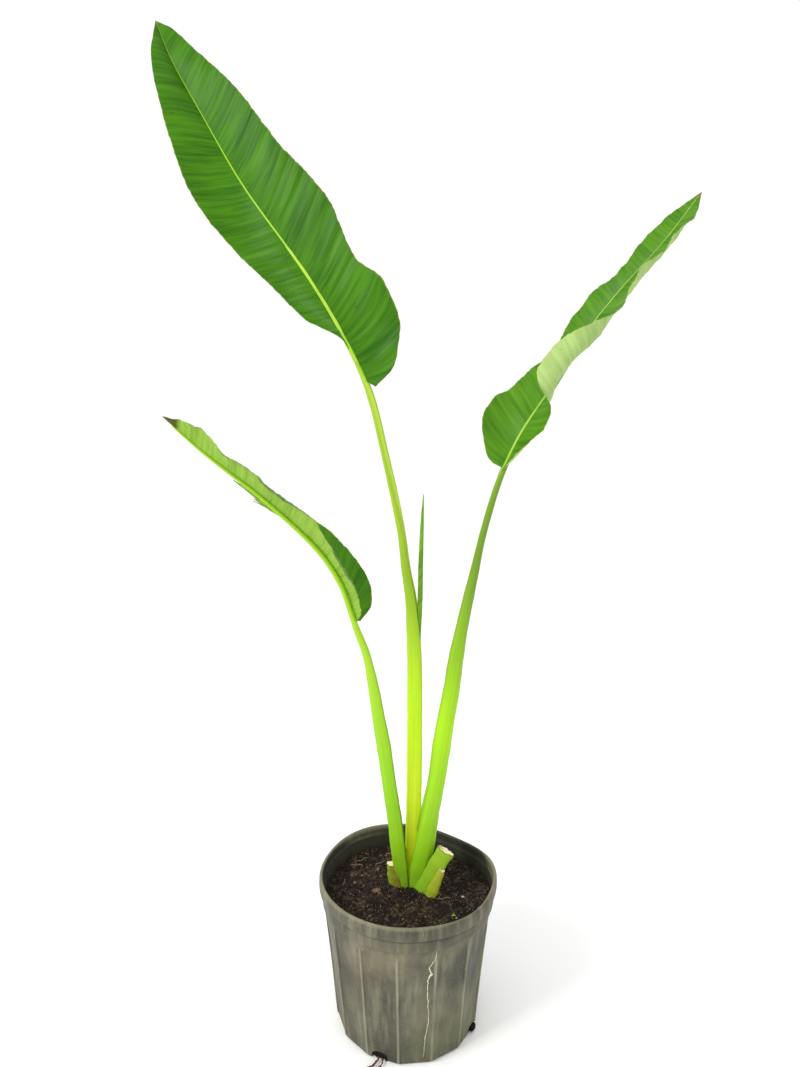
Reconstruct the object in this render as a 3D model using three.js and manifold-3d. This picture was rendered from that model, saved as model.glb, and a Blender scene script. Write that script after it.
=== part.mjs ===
// A young travelers palm in a ribbed nursery can.
// Millimetres, +Z up. The origin is the centre of the can's underside, where it rests.
// -Y is the front of the plant.
import * as THREE from 'three';
import { mergeVertices } from 'three/addons/utils/BufferGeometryUtils.js';
import Module from 'manifold-3d';

// ---------------------------------------------------------------- driving dimensions
const POT_HEIGHT = 238;
const LIP_RADIUS = 130;
const BASE_RADIUS = 104;
const BODY_TOP_RADIUS = 122;
const BODY_TOP = 197;
const WALL = 2;
const FLOOR = 2.5;
const PANELS = 14;
const FIRST_RIB = -97.3;         // degrees from +X
const RIB_HEIGHT = 1.8;
const NOTCH_WIDTH = 24;
const NOTCH_HEIGHT = 14;
const NOTCH_ANGLES = [-113, -23, 67, 157];
const SOIL_LEVEL = 206;
const CLEAR = 0.4;               // gap between pieces that touch
const BLADE = 1.4;               // blade thickness
const RIB_GAP = 1.0;             // midrib to blade

const wasm = await Module();
wasm.setup();

// ---------------------------------------------------------------- small maths
const rad = THREE.MathUtils.degToRad;
const smooth = (a, b, x) => THREE.MathUtils.smoothstep(x, a, b);
const mix = THREE.MathUtils.lerp;
const V = (x, y, z) => new THREE.Vector3(x, y, z);

// A smooth curve of one value through rows [x, value, ...] that never overshoots.
function ease(rows, column) {
  const xs = rows.map((r) => r[0]);
  const ys = rows.map((r) => r[column]);
  const n = xs.length;
  const slope = [];
  for (let i = 0; i < n - 1; i++) slope.push((ys[i + 1] - ys[i]) / (xs[i + 1] - xs[i]));
  const m = ys.map((_, i) => {
    if (i === 0) return slope[0];
    if (i === n - 1) return slope[n - 2];
    const a = slope[i - 1];
    const b = slope[i];
    return a * b <= 0 ? 0 : (2 * a * b) / (a + b);
  });
  return (x) => {
    const k = Math.min(Math.max(xs.findIndex((v) => v >= x) - 1, 0), n - 2);
    const h = xs[k + 1] - xs[k];
    const t = Math.min(Math.max((x - xs[k]) / h, 0), 1);
    const t2 = t * t;
    const t3 = t2 * t;
    return (2 * t3 - 3 * t2 + 1) * ys[k] + (t3 - 2 * t2 + t) * h * m[k]
      + (3 * t2 - 2 * t3) * ys[k + 1] + (t3 - t2) * h * m[k + 1];
  };
}

function curveOf(points) {
  const c = new THREE.CatmullRomCurve3(points.map((p) => V(p[0], p[1], p[2])), false, 'catmullrom', 0.5);
  c.arcLengthDivisions = 400;
  return c;
}

// ---------------------------------------------------------------- solids from grids
// Rings of points, all with the same count, joined into one closed body with a fan at each end.
function skin(rings) {
  const n = rings[0].length;
  const pts = [];
  for (const ring of rings) for (const p of ring) pts.push(p);
  const tri = [];
  for (let i = 0; i < rings.length - 1; i++) {
    for (let j = 0; j < n; j++) {
      const a = i * n + j;
      const b = i * n + ((j + 1) % n);
      tri.push([a, b, b + n], [a, b + n, a + n]);
    }
  }
  for (const [ring, at, flip] of [[rings[0], 0, true], [rings[rings.length - 1], (rings.length - 1) * n, false]]) {
    const centre = ring.reduce((s, p) => s.add(p), V(0, 0, 0)).multiplyScalar(1 / n);
    pts.push(centre);
    const c = pts.length - 1;
    for (let j = 0; j < n; j++) {
      const a = at + j;
      const b = at + ((j + 1) % n);
      tri.push(flip ? [c, b, a] : [c, a, b]);
    }
  }
  return outward(pts, tri);
}

function outward(pts, tri) {
  let volume = 0;
  for (const [a, b, c] of tri) volume += pts[a].dot(V(0, 0, 0).crossVectors(pts[b], pts[c]));
  const g = new THREE.BufferGeometry();
  g.setAttribute('position', new THREE.Float32BufferAttribute(pts.flatMap((p) => [p.x, p.y, p.z]), 3));
  g.setIndex(tri.flatMap(([a, b, c]) => (volume < 0 ? [a, c, b] : [a, b, c])));
  return g;
}

function toSolid(geometry) {
  const g = geometry.clone();
  g.deleteAttribute('normal');
  g.deleteAttribute('uv');
  const m = mergeVertices(g, 1e-4);
  return new wasm.Manifold(new wasm.Mesh({
    numProp: 3,
    vertProperties: new Float32Array(m.attributes.position.array),
    triVerts: new Uint32Array(m.index.array),
  }));
}

function fromSolid(solid) {
  const m = solid.getMesh();
  const g = new THREE.BufferGeometry();
  g.setAttribute('position', new THREE.BufferAttribute(new Float32Array(m.vertProperties), 3));
  g.setIndex(new THREE.BufferAttribute(new Uint32Array(m.triVerts), 1));
  return g;
}

// ---------------------------------------------------------------- the can
// Plan radius of the body: a circle near the top that turns into flat panels lower down.
function planRadius(theta, z, radius) {
  const step = (2 * Math.PI) / PANELS;
  const local = ((theta - rad(FIRST_RIB)) / step - Math.floor((theta - rad(FIRST_RIB)) / step) - 0.5) * step;
  const flat = (radius * Math.cos(step / 2)) / Math.cos(local);
  return mix(flat, radius, smooth(120, 188, z));
}
const bodyRadius = (z) => mix(BASE_RADIUS, BODY_TOP_RADIUS, Math.min(z, BODY_TOP) / BODY_TOP);

// Years of handling have bent the rim: pushed in at the back right, low at the front right.
const bump = (theta, centre, half) => {
  const d = Math.abs(((theta - rad(centre) + 3 * Math.PI) % (2 * Math.PI)) - Math.PI) / rad(half);
  return d < 1 ? Math.cos((d * Math.PI) / 2) ** 2 : 0;
};
const bend = (theta, z) => {
  const k = smooth(120, 225, z);
  return {
    dr: k * (-7 * bump(theta, 52, 42) + 2 * bump(theta, 5, 30) + 1.5 * bump(theta, 120, 40)),
    dz: k * (-3 * bump(theta, 50, 45) + 3 * bump(theta, 128, 45) - 4 * bump(theta, -45, 40)),
  };
};

// Stations round the can: four across each rib, two across each panel.
const around = [];
for (let k = 0; k < PANELS; k++) {
  const c = FIRST_RIB + (k * 360) / PANELS;
  for (const [offset, ridge] of [[-1.35, 0], [-0.7, 1], [0.7, 1], [1.35, 0], [8.8, 0], [16.9, 0]]) {
    around.push({ theta: rad(c + offset), ridge });
  }
}

function canRing(r, z, { panels = false, ribs = 0 } = {}) {
  return around.map(({ theta, ridge }) => {
    const plan = panels ? planRadius(theta, z, r) : r;
    const b = bend(theta, z);
    const R = plan + ribs * ridge + b.dr;
    return V(R * Math.cos(theta), R * Math.sin(theta), z + b.dz);
  });
}

const wallOut = (z, ribs) => canRing(bodyRadius(z), z, { panels: true, ribs });
const wallIn = (z) => canRing(bodyRadius(z) - WALL, z, { panels: true });
const canShell = skin([
  canRing(60, 0),
  canRing(BASE_RADIUS - 3, 0, { panels: true }),
  wallOut(2.5, 0),
  wallOut(8, RIB_HEIGHT),
  wallOut(70, RIB_HEIGHT),
  wallOut(180, RIB_HEIGHT),
  wallOut(190, 0),
  canRing(BODY_TOP_RADIUS, BODY_TOP - 1),
  canRing(LIP_RADIUS - 4.5, BODY_TOP + 1),
  canRing(LIP_RADIUS - 4.2, 214),
  canRing(LIP_RADIUS - 5.2, 215.5),
  canRing(LIP_RADIUS - 2.2, 217),
  canRing(LIP_RADIUS, 222),
  canRing(LIP_RADIUS, 234),
  canRing(LIP_RADIUS - 1.6, POT_HEIGHT),
  canRing(LIP_RADIUS - 5, POT_HEIGHT),
  canRing(LIP_RADIUS - 6.2, 235),
  canRing(LIP_RADIUS - 7.5, 217),
  canRing(LIP_RADIUS - 8.6, 212),
  canRing(LIP_RADIUS - 8.8, BODY_TOP + 2),
  wallIn(186),
  wallIn(60),
  wallIn(FLOOR),
  canRing(50, FLOOR),
]);

// An arched mouth through the corner of the base.
function notchCutter(angle) {
  const half = NOTCH_WIDTH / 2;
  const arch = new THREE.Shape();
  arch.moveTo(-half, -2);
  arch.lineTo(half, -2);
  arch.lineTo(half, NOTCH_HEIGHT - 5);
  arch.quadraticCurveTo(half, NOTCH_HEIGHT, half - 5, NOTCH_HEIGHT);
  arch.lineTo(-half + 5, NOTCH_HEIGHT);
  arch.quadraticCurveTo(-half, NOTCH_HEIGHT, -half, NOTCH_HEIGHT - 5);
  arch.closePath();
  const g = new THREE.ExtrudeGeometry(arch, { depth: 24, bevelEnabled: false, curveSegments: 4 });
  g.rotateX(Math.PI / 2);                    // arch stands up in Z, runs along -Y
  g.translate(0, -88, 0);
  g.rotateZ(rad(angle + 90));
  return toSolid(g);
}
let can = toSolid(canShell);
for (const angle of NOTCH_ANGLES) can = can.subtract(notchCutter(angle));

// ---------------------------------------------------------------- stalks and midribs
// One section: an outer bow and an inner groove whose open side faces `open`.
// a: half width across, b: half depth, groove: how far the inside is hollowed, 0 to 1.
const BOW = 9;
const HOLLOW = 4;
function section(centre, tangent, open, a, b, groove, grow = 0) {
  const t = tangent.clone().normalize();
  const e = open.clone().addScaledVector(t, -open.dot(t)).normalize();
  const f = V(0, 0, 0).crossVectors(t, e);
  const A = a + grow;
  const B = b + grow;
  const ring = [];
  const reach = rad(mix(150, 128, groove));
  for (let i = 0; i < BOW; i++) {
    const q = mix(-reach, reach, i / (BOW - 1));
    ring.push([-B * Math.cos(q), A * Math.sin(q)]);
  }
  const [tipE, tipF] = ring[BOW - 1];
  const deep = Math.max(groove * (tipE + B - 3.2) - grow * 2, groove > 0 ? 0.2 : 0);
  for (let i = 1; i <= HOLLOW; i++) {
    const s = 1 - (2 * i) / (HOLLOW + 1);
    const narrow = mix(1, 0.74, groove * (1 - Math.abs(s) ** 4));
    ring.push([tipE - deep * (1 - Math.abs(s) ** 3) + 0.3 * (1 - groove), (tipF - 2 * grow) * s * narrow]);
  }
  return ring.map(([u, v]) => centre.clone().addScaledVector(e, u).addScaledVector(f, v));
}

// rows: [x, y, z, a, b, groove, openX, openY, openZ]
function stalkRings(rows, count, grow = 0, upTo = 1) {
  const c = curveOf(rows);
  const at = rows.map((r, i) => {
    const p = V(r[0], r[1], r[2]);
    let best = 0;
    let near = 1e9;
    for (let k = 0; k <= 400; k++) {
      const d = c.getPointAt(k / 400).distanceTo(p);
      if (d < near && k / 400 >= (i ? 0.0001 : 0)) { near = d; best = k / 400; }
    }
    return [i === 0 ? 0 : i === rows.length - 1 ? 1 : best, ...r.slice(3)];
  });
  const read = [1, 2, 3, 4, 5, 6].map((k) => ease(at, k));
  const rings = [];
  for (let i = 0; i <= count; i++) {
    const u = (upTo * i) / count;
    const [a, b, groove, ox, oy, oz] = read.map((f) => f(u));
    rings.push(section(c.getPointAt(u), c.getTangentAt(u), V(ox, oy, oz), a, b, groove, grow));
  }
  return rings;
}

// ---------------------------------------------------------------- blades
// A leaf has a midrib curve and two halves. Each half is a table of
// [place along the midrib, reach to the side, lift towards the front, bow, sweep towards the tip].
function leafGrid(leaf, nu, nw) {
  const c = curveOf(leaf.rib);
  const face = V(...leaf.face);
  const sides = [leaf.left, leaf.right].map((rows) => [1, 2, 3, 4].map((k) => ease(rows, k)));
  const grid = [];
  for (let i = 0; i <= nu; i++) {
    const u = i / nu;
    const m = c.getPointAt(u);
    const t = c.getTangentAt(u);
    const f = face.clone().addScaledVector(t, -face.dot(t)).normalize();
    const r = V(0, 0, 0).crossVectors(t, f);
    const half = sides.map((read, side) => {
      const s = side === 0 ? -1 : 1;
      const [reach, lift, bow, sweep] = read.map((g) => g(u));
      const chord = Math.hypot(reach, lift) || 1e-6;
      const hr = reach / 2 + (bow * lift) / chord;
      const hl = lift / 2 - (bow * reach) / chord;
      const out = [];
      for (let j = 0; j <= nw; j++) {
        const w = j / nw;
        const q = 4 * w * (1 - w);
        const e = w * (2 * w - 1);
        out.push(m.clone().addScaledVector(r, s * (q * hr + e * reach))
          .addScaledVector(f, q * hl + e * lift).addScaledVector(t, w * sweep));
      }
      return out;
    });
    const row = [...half[0].slice(1).reverse(), m, ...half[1].slice(1)];
    // the upper side of the leaf at the midrib
    const turn = (p, s) => {
      const d = p.clone().sub(m);
      return r.clone().multiplyScalar(-s * d.dot(f)).addScaledVector(f, s * d.dot(r)).normalize();
    };
    const up = turn(half[0][1], -1).add(turn(half[1][1], 1)).normalize();
    grid.push({ row, m, t, up });
  }
  return grid;
}

function bladeGeometry(grid, thick = BLADE) {
  const nu = grid.length;
  const n = grid[0].row.length;
  const at = (i, j) => grid[Math.min(Math.max(i, 0), nu - 1)].row[Math.min(Math.max(j, 0), n - 1)];
  const top = [];
  const bottom = [];
  for (let i = 0; i < nu; i++) {
    for (let j = 0; j < n; j++) {
      const du = at(i + 1, j).clone().sub(at(i - 1, j));
      const dv = at(i, j + 1).clone().sub(at(i, j - 1));
      const normal = V(0, 0, 0).crossVectors(dv, du).normalize();
      top.push(at(i, j).clone().addScaledVector(normal, thick / 2));
      bottom.push(at(i, j).clone().addScaledVector(normal, -thick / 2));
    }
  }
  const pts = [...top, ...bottom];
  const low = top.length;
  const tri = [];
  for (let i = 0; i < nu - 1; i++) {
    for (let j = 0; j < n - 1; j++) {
      const a = i * n + j;
      tri.push([a, a + 1, a + n + 1], [a, a + n + 1, a + n]);
      tri.push([low + a, low + a + n + 1, low + a + 1], [low + a, low + a + n, low + a + n + 1]);
    }
  }
  const rim = [];
  for (let j = 0; j < n - 1; j++) rim.push(j);
  for (let i = 0; i < nu - 1; i++) rim.push(i * n + n - 1);
  for (let j = n - 1; j > 0; j--) rim.push((nu - 1) * n + j);
  for (let i = nu - 1; i > 0; i--) rim.push(i * n);
  for (let k = 0; k < rim.length; k++) {
    const a = rim[k];
    const b = rim[(k + 1) % rim.length];
    tri.push([a, low + b, b], [a, low + a, low + b]);
  }
  return outward(pts, tri);
}

// The midrib continues the stalk under the blade, on its lower side.
function withMidrib(rows, grid, sizes) {
  const out = rows.map((r) => r.slice());
  const read = ease(sizes, 1);
  const steps = 9;
  for (let k = 0; k < steps; k++) {
    const u = mix(0.03, 0.93, k / (steps - 1));
    const g = grid[Math.round(u * (grid.length - 1))];
    const size = read(u);
    const p = g.m.clone().addScaledVector(g.up, -(size + BLADE / 2 + RIB_GAP));
    out.push([p.x, p.y, p.z, size, size, 0, g.up.x, g.up.y, g.up.z]);
  }
  return out;
}

const tallLeaf = {
  rib: [[-57, 60, 945], [-85, 72, 1000], [-142, 95, 1092], [-226, 130, 1206], [-289, 165, 1310], [-331, 190, 1383], [-356, 210, 1441]],
  face: [0.05, -1, 0.25],
  left: [[0, 0.5, 0, 0, 0], [0.1, 3, 0, 0, 0], [0.2, 34, -12, 4, 0], [0.3, 46, -18, 5, 0], [0.42, 59, -16, 4, 0], [0.56, 68, 6, 3, 0], [0.7, 56, 20, -3, 0], [0.8, 42, 22, -4, 0], [0.9, 25, 14, -3, 0], [1, 0.6, 0, 0, 0]],
  right: [[0, 8, 4, 0, -13], [0.05, 46, 10, 3, -25], [0.12, 76, 22, 6, -20], [0.17, 81, 28, 7, 0], [0.24, 67, 14, 2, 5], [0.38, 82, 20, 3, 10], [0.56, 69, 22, 4, 10], [0.7, 60, 20, 2, 10], [0.85, 38, 12, -2, 8], [0.95, 20, 3, 0, 5], [1, 0.6, 0, 0, 0]],
};
const rightLeaf = {
  rib: [[119, -48, 841], [142, -48, 888], [177, -44, 942], [221, -36, 1011], [267, -26, 1067], [314, -14, 1117], [364, 4, 1179]],
  face: [-0.18, -0.98, 0.05],
  left: [[0, 14, 2, 0, 0], [0.03, 26, 2, 0, -6], [0.06, 36, 2, 3, -6], [0.12, 54, -8, 5, 0], [0.16, 54, -18, 5, 0], [0.22, 42, -30, 5, 0], [0.3, 36, -40, 5, 0], [0.4, 22, -46, 6, 0], [0.5, 26, -44, 5, 0], [0.6, 26, -40, 4, 0], [0.68, 17, -36, 4, 0], [0.8, 22, -28, 3, 0], [0.9, 16, -16, 1, 0], [1, 0.6, 0, 0, 0]],
  right: [[0, 0.5, 1, 0, -4], [0.07, 8, 30, 6, -4], [0.16, 21, 40, 4, -2], [0.21, 15, 42, 4, 0], [0.25, -12, 38, 14, 0], [0.29, -26, 36, 17, 0], [0.36, -24, 38, 18, 0], [0.42, -14, 42, 20, 0], [0.47, 0, 44, 16, 0], [0.55, 16, 40, 4, 0], [0.61, 8, 40, 8, 0], [0.68, 2, 36, 10, 0], [0.76, 8, 32, 5, 0], [0.83, 4, 26, 7, 0], [0.9, 12, 16, 0, 0], [1, 0.6, 0, 0, 0]],
};
const leftLeaf = {
  rib: [[-68, -48, 638], [-82, -54, 685], [-107, -62, 731], [-133, -70, 762], [-181, -82, 810], [-229, -92, 851], [-262, -98, 880], [-293, -104, 911]],
  face: [0.1, -0.98, 0.1],
  left: [[0, 0.5, 2, 0, 0], [0.06, -9, 24, -4, -2], [0.13, -12, 36, -5, 0], [0.24, -10, 44, -6, 0], [0.33, -14, 48, -6, 0], [0.42, -24, 46, -6, 0], [0.5, -20, 46, -8, 0], [0.58, -15, 46, -8, 0], [0.68, -19, 42, -6, 0], [0.78, -15, 36, -5, 0], [0.82, -19, 30, -4, 0], [0.87, -22, 20, -3, 3], [0.93, -12, 9, -2, 5], [1, -0.6, 0.4, 0, 0]],
  right: [[0, 5, -4, 1, -3], [0.05, 25, -14, 4, -8], [0.1, 32, -24, 5, -2], [0.2, 28, -38, 5, 0], [0.33, 20, -44, 5, 0], [0.45, 14, -46, 5, 0], [0.6, 9, -44, 5, 0], [0.75, 6, -36, 4, 0], [0.88, 6, -22, 2, 0], [1, 0.6, -0.2, 0, 0]],
};
const tallGrid = leafGrid(tallLeaf, 30, 4);
const rightGrid = leafGrid(rightLeaf, 34, 4);
const leftGrid = leafGrid(leftLeaf, 30, 4);

// Each stalk sheathes the next younger one at its foot, so its open side faces the middle of the fan.
const tallStalk = withMidrib([
  [5, 16, 170, 8, 11, 0, 1, -0.3, 0],
  [6, 15, 209, 8.5, 12, 0.7, 1, -0.2, 0],
  [10, 14, 280, 9, 13.3, 0.9, 1, 0, 0],
  [11.7, 13, 378, 9, 13.3, 0.9, 1, 0, 0],
  [12, 14, 470, 9, 13, 0.9, 1, 0, 0],
  [11.3, 17, 559, 8.5, 12.4, 0.8, 1, 0, 0],
  [8, 19, 612, 8, 10.4, 0.7, 1, -0.1, 0],
  [4.6, 23, 650, 7.4, 8.8, 0.55, 1, -0.2, 0],
  [-2.5, 27, 690, 6.5, 6.8, 0.35, 1, -0.3, 0],
  [-9, 32, 740, 5.8, 5.6, 0.3, 0.8, -0.7, 0],
  [-19, 40, 791, 5.8, 5, 0.3, 0.5, -1, 0],
  [-33, 48, 853, 5.2, 4.6, 0.25, 0.2, -1, 0],
  [-48, 58, 915, 5.2, 4.4, 0.15, 0.1, -1, 0.1],
], tallGrid, [[0, 4.2], [0.3, 3.4], [0.7, 2.2], [1, 1]]);
const rightStalk = withMidrib([
  [11, 9, 170, 8.5, 11, 0, -1, 0.4, 0],
  [12, 8, 209, 9, 12.5, 0.7, -1, 0.4, 0],
  [15, 4, 242, 10.5, 16, 0.9, -1, 0.2, 0],
  [21.4, -1, 280, 11, 17.8, 0.9, -1, 0, 0],
  [27, -5, 319, 11, 16.6, 0.9, -1, 0, 0],
  [32, -8, 350, 10.5, 15.2, 0.9, -1, 0, 0],
  [38.8, -10, 389, 10, 14.6, 0.85, -1, 0, 0],
  [44.6, -12, 437, 9.5, 15, 0.8, -1, 0, 0],
  [51, -15, 483, 9, 13.9, 0.7, -1, 0, 0],
  [58.4, -18, 529, 8.5, 12.7, 0.6, -1, 0, 0],
  [63.8, -22, 574, 8, 11.6, 0.5, -1, 0, 0],
  [70.8, -26, 618, 7, 9.1, 0.45, -1, 0, 0],
  [78.8, -30, 662, 6, 8, 0.4, -1, 0, 0],
  [87, -34, 704, 5, 6.3, 0.3, -1, 0, 0],
  [94.6, -38, 745, 4.7, 5, 0.3, -1, 0, 0],
  [104, -42, 786, 4.5, 4.6, 0.25, -1, 0.1, 0],
  [114, -46, 822, 4.4, 4.2, 0.15, -1, 0.1, 0],
], rightGrid, [[0, 3.8], [0.3, 3], [0.7, 2], [1, 0.9]]);
const leftStalk = withMidrib([
  [-4, 13, 170, 8, 11, 0, 1, -0.4, 0],
  [-4.4, 12, 209, 8.5, 12.8, 0.7, 1, -0.4, 0],
  [-7.6, 7, 240, 9, 13.6, 0.9, 1, -0.2, 0],
  [-12.4, 1, 279, 9, 12.9, 0.9, 1, 0, 0],
  [-15.9, -4, 318, 8.5, 12.7, 0.9, 1, 0, 0],
  [-23.5, -12, 375, 8, 11.7, 0.8, 1, 0, 0],
  [-31.5, -20, 441, 7.2, 11.5, 0.7, 1, 0, 0],
  [-38.6, -26, 487, 6.6, 10.2, 0.6, 1, 0, 0],
  [-45.4, -32, 534, 6, 8.5, 0.5, 1, 0, 0],
  [-53.6, -38, 580, 5.2, 6.1, 0.35, 1, 0, 0],
  [-59.8, -41, 602, 4.9, 5.5, 0.3, 1, 0, 0],
  [-66.5, -44, 621, 4.6, 4.9, 0.15, 1, 0, 0.1],
], leftGrid, [[0, 4], [0.3, 3.2], [0.7, 2], [1, 0.9]]);

// The youngest leaf, still rolled up, stands in the fold of the tall stalk.
const spear = [
  [12, 16, 470, 3.4, 3.4, 0, 1, 0, 0],
  [13, 17, 540, 3.5, 3.5, 0, 1, 0, 0],
  [16.6, 17, 640, 3.5, 3.5, 0, 1, 0, 0],
  [17.3, 14, 700, 3.2, 3.2, 0, 1, 0, 0],
  [19, 11, 760, 2.2, 2.2, 0, 1, 0, 0],
  [20.6, 9, 798, 0.6, 0.6, 0, 1, 0, 0],
];

// Old stalks cut short.
const stubs = {
  stub_left: [[-16, 12, 182, 5, 11.5, 0.3, 0.83, -0.56, 0], [-17, 12.5, 208, 5, 12.6, 0.3, 0.83, -0.56, 0], [-24.5, 9, 244, 3.6, 7.4, 0.2, 0.83, -0.56, 0.1]],
  stub_right_long: [[14, -1, 182, 5, 11.5, 0.3, -0.83, 0.56, 0], [18.5, -3.5, 208, 5, 12.2, 0.3, -0.83, 0.56, 0], [54, -16, 282, 6, 14.6, 0.25, -0.96, 0.26, 0.2]],
  stub_right_short: [[29, -9, 182, 4.5, 9, 0.4, -0.83, 0.56, 0], [33.5, -13, 208, 4.5, 9.5, 0.4, -0.83, 0.56, 0], [49, -21, 253, 3.6, 5, 0.3, -0.83, 0.56, 0.3]],
};

// ---------------------------------------------------------------- soil
function soilTop(x, y) {
  const lumps = 1.6 * Math.sin(x / 17 + 0.6) * Math.cos(y / 13 - 0.4) + 1.1 * Math.sin(x / 8.5 - y / 11);
  const hollow = -9 * Math.exp(-(((x - 62) / 34) ** 2 + ((y - 40) / 36) ** 2));
  const mound = 3 * Math.exp(-(((x + 5) / 45) ** 2 + ((y + 5) / 40) ** 2));
  return SOIL_LEVEL + lumps + hollow + mound;
}
function soilRing(fraction, z) {
  return around.filter((_, i) => i % 6 === 0 || i % 6 > 3).map(({ theta }) => {
    const level = z ?? SOIL_LEVEL;
    const edge = level > BODY_TOP - 4 ? BODY_TOP_RADIUS - 1.8 : planRadius(theta, level, bodyRadius(level) - WALL);
    const r = (edge - 0.8 + bend(theta, level).dr) * fraction;
    const x = r * Math.cos(theta);
    const y = r * Math.sin(theta);
    return V(x, y, z ?? soilTop(x, y));
  });
}
const bottom = FLOOR + CLEAR;
let soil = toSolid(skin([
  soilRing(0.45, bottom), soilRing(0.97, bottom), soilRing(0.985, 60), soilRing(0.985, 120), soilRing(0.985, 186),
  soilRing(1), soilRing(0.86), soilRing(0.7), soilRing(0.54), soilRing(0.38), soilRing(0.22), soilRing(0.09),
]));
const solids = {
  leaf_tall_stalk: skin(stalkRings(tallStalk, 36)),
  leaf_right_stalk: skin(stalkRings(rightStalk, 34)),
  leaf_left_stalk: skin(stalkRings(leftStalk, 30)),
};
// A midrib is flattened wherever the blade folds down on to it.
for (const [name, grid] of [['leaf_tall_stalk', tallGrid], ['leaf_right_stalk', rightGrid], ['leaf_left_stalk', leftGrid]]) {
  const pieces = toSolid(solids[name]).subtract(toSolid(bladeGeometry(grid, BLADE + 3 * CLEAR))).decompose();
  solids[name] = fromSolid(pieces.sort((a, b) => b.volume() - a.volume())[0]);
}
// The spear presses its own bed into the inside of the tall stalk.
solids.leaf_tall_stalk = fromSolid(toSolid(solids.leaf_tall_stalk).subtract(toSolid(skin(stalkRings(spear, 14, CLEAR)))));
for (const [name, rows] of Object.entries(stubs)) solids[name] = skin(stalkRings(rows, 7));
// At the crown the sheaths nest: each one gives way to its neighbours.
const grown = (rows, count) => toSolid(skin(stalkRings(rows.map((r) => [...r.slice(0, 5), 0, ...r.slice(6)]), count, 3 * CLEAR).slice(0, count * 0.5)));
const inner = {
  leaf_tall_stalk: () => grown(tallStalk, 36),
  leaf_right_stalk: () => grown(rightStalk, 34),
  leaf_left_stalk: () => grown(leftStalk, 30),
  stub_left: () => toSolid(skin(stalkRings(stubs.stub_left, 7, 2 * CLEAR))),
  stub_right_long: () => toSolid(skin(stalkRings(stubs.stub_right_long, 7, 2 * CLEAR))),
};
for (const [outer, ...inside] of [
  ['leaf_left_stalk', 'leaf_tall_stalk', 'stub_left'],
  ['leaf_right_stalk', 'leaf_tall_stalk', 'leaf_left_stalk'],
  ['stub_right_long', 'leaf_tall_stalk', 'leaf_left_stalk', 'leaf_right_stalk'],
  ['stub_right_short', 'leaf_right_stalk', 'stub_right_long'],
]) {
  let body = toSolid(solids[outer]);
  for (const name of inside) body = body.subtract(inner[name]());
  solids[outer] = fromSolid(body.decompose().sort((a, b) => b.volume() - a.volume())[0]);
}
// The soil stops a hair short of everything that stands in it.
function socket(rows, count) {
  const full = rows.map((r) => [...r.slice(0, 5), 0, ...r.slice(6)]);
  const rings = stalkRings(full, count, 3 * CLEAR);
  const low = rings.filter((ring, i) => i < 2 || rings[i - 1][0].z < SOIL_LEVEL + 15);
  return toSolid(skin([low[0].map((p) => p.clone().setZ(p.z - CLEAR)), ...low]));
}
for (const [rows, count] of [[tallStalk, 36], [rightStalk, 34], [leftStalk, 30]]) soil = soil.subtract(socket(rows, count));
for (const rows of Object.values(stubs)) soil = soil.subtract(socket(rows, 7));

// ---------------------------------------------------------------- small pieces
function tube(points, radiusRows, sides, count) {
  const c = curveOf(points);
  const r = ease(radiusRows, 1);
  const rings = [];
  for (let i = 0; i <= count; i++) {
    const u = i / count;
    const t = c.getTangentAt(u);
    const e = V(0.3, 0.2, 1).addScaledVector(t, -V(0.3, 0.2, 1).dot(t)).normalize();
    const f = V(0, 0, 0).crossVectors(t, e);
    const p = c.getPointAt(u);
    const ring = [];
    for (let k = 0; k < sides; k++) {
      const q = (k / sides) * 2 * Math.PI;
      ring.push(p.clone().addScaledVector(e, r(u) * Math.cos(q)).addScaledVector(f, r(u) * Math.sin(q)));
    }
    rings.push(ring);
  }
  return skin(rings);
}
const small = {
  drain_root_long: tube([[-40.5, -93.5, 5.2], [-46, -104, 4.2], [-58, -112, 2.6], [-75, -118, 2.1]], [[0, 2.3], [0.6, 1.9], [1, 1]], 8, 10),
  drain_root_short: tube([[-34.5, -96, 5], [-37, -106, 3.6], [-45, -113.5, 2], [-52, -120, 1.5]], [[0, 1.7], [0.6, 1.5], [1, 0.8]], 8, 8),
};
const clump = new THREE.IcosahedronGeometry(1, 1);
clump.scale(5, 9, 6.2);
clump.rotateZ(rad(-23));
clump.translate(105 * Math.cos(rad(-23)), 105 * Math.sin(rad(-23)), 6.4);
const chipAt = [-46, -8];
const chipOutline = new THREE.Shape([[-6, -3], [-1, -4.2], [5, -3], [6.5, 0.5], [3, 3.6], [-4, 3.2], [-6.6, 0.6]].map(([x, y]) => new THREE.Vector2(x, y)));
const chip = new THREE.ExtrudeGeometry(chipOutline, { depth: 2.6, bevelEnabled: false });
chip.rotateZ(0.5);
chip.translate(chipAt[0], chipAt[1], soilTop(...chipAt) + 2.2);
const lift = (x, y, h) => [x, y, soilTop(x, y) + h];
small.dry_rootlet = tube([lift(-98, 46, 2.8), lift(-88, 54, 3.2), lift(-80, 64, 3), lift(-70, 68, 3.2)], [[0, 0.7], [0.5, 1], [1, 0.6]], 6, 10);
small.weed_sprout = tube([lift(63, -64, 2), lift(63.5, -64, 4), lift(64.5, -64.5, 6.5), lift(67, -65.5, 8)], [[0, 0.8], [0.6, 0.9], [0.85, 2], [1, 0.5]], 6, 8);

const single = (g) => {
  const c = g.clone();
  c.deleteAttribute('normal');
  c.deleteAttribute('uv');
  return mergeVertices(c, 1e-4);
};

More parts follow.
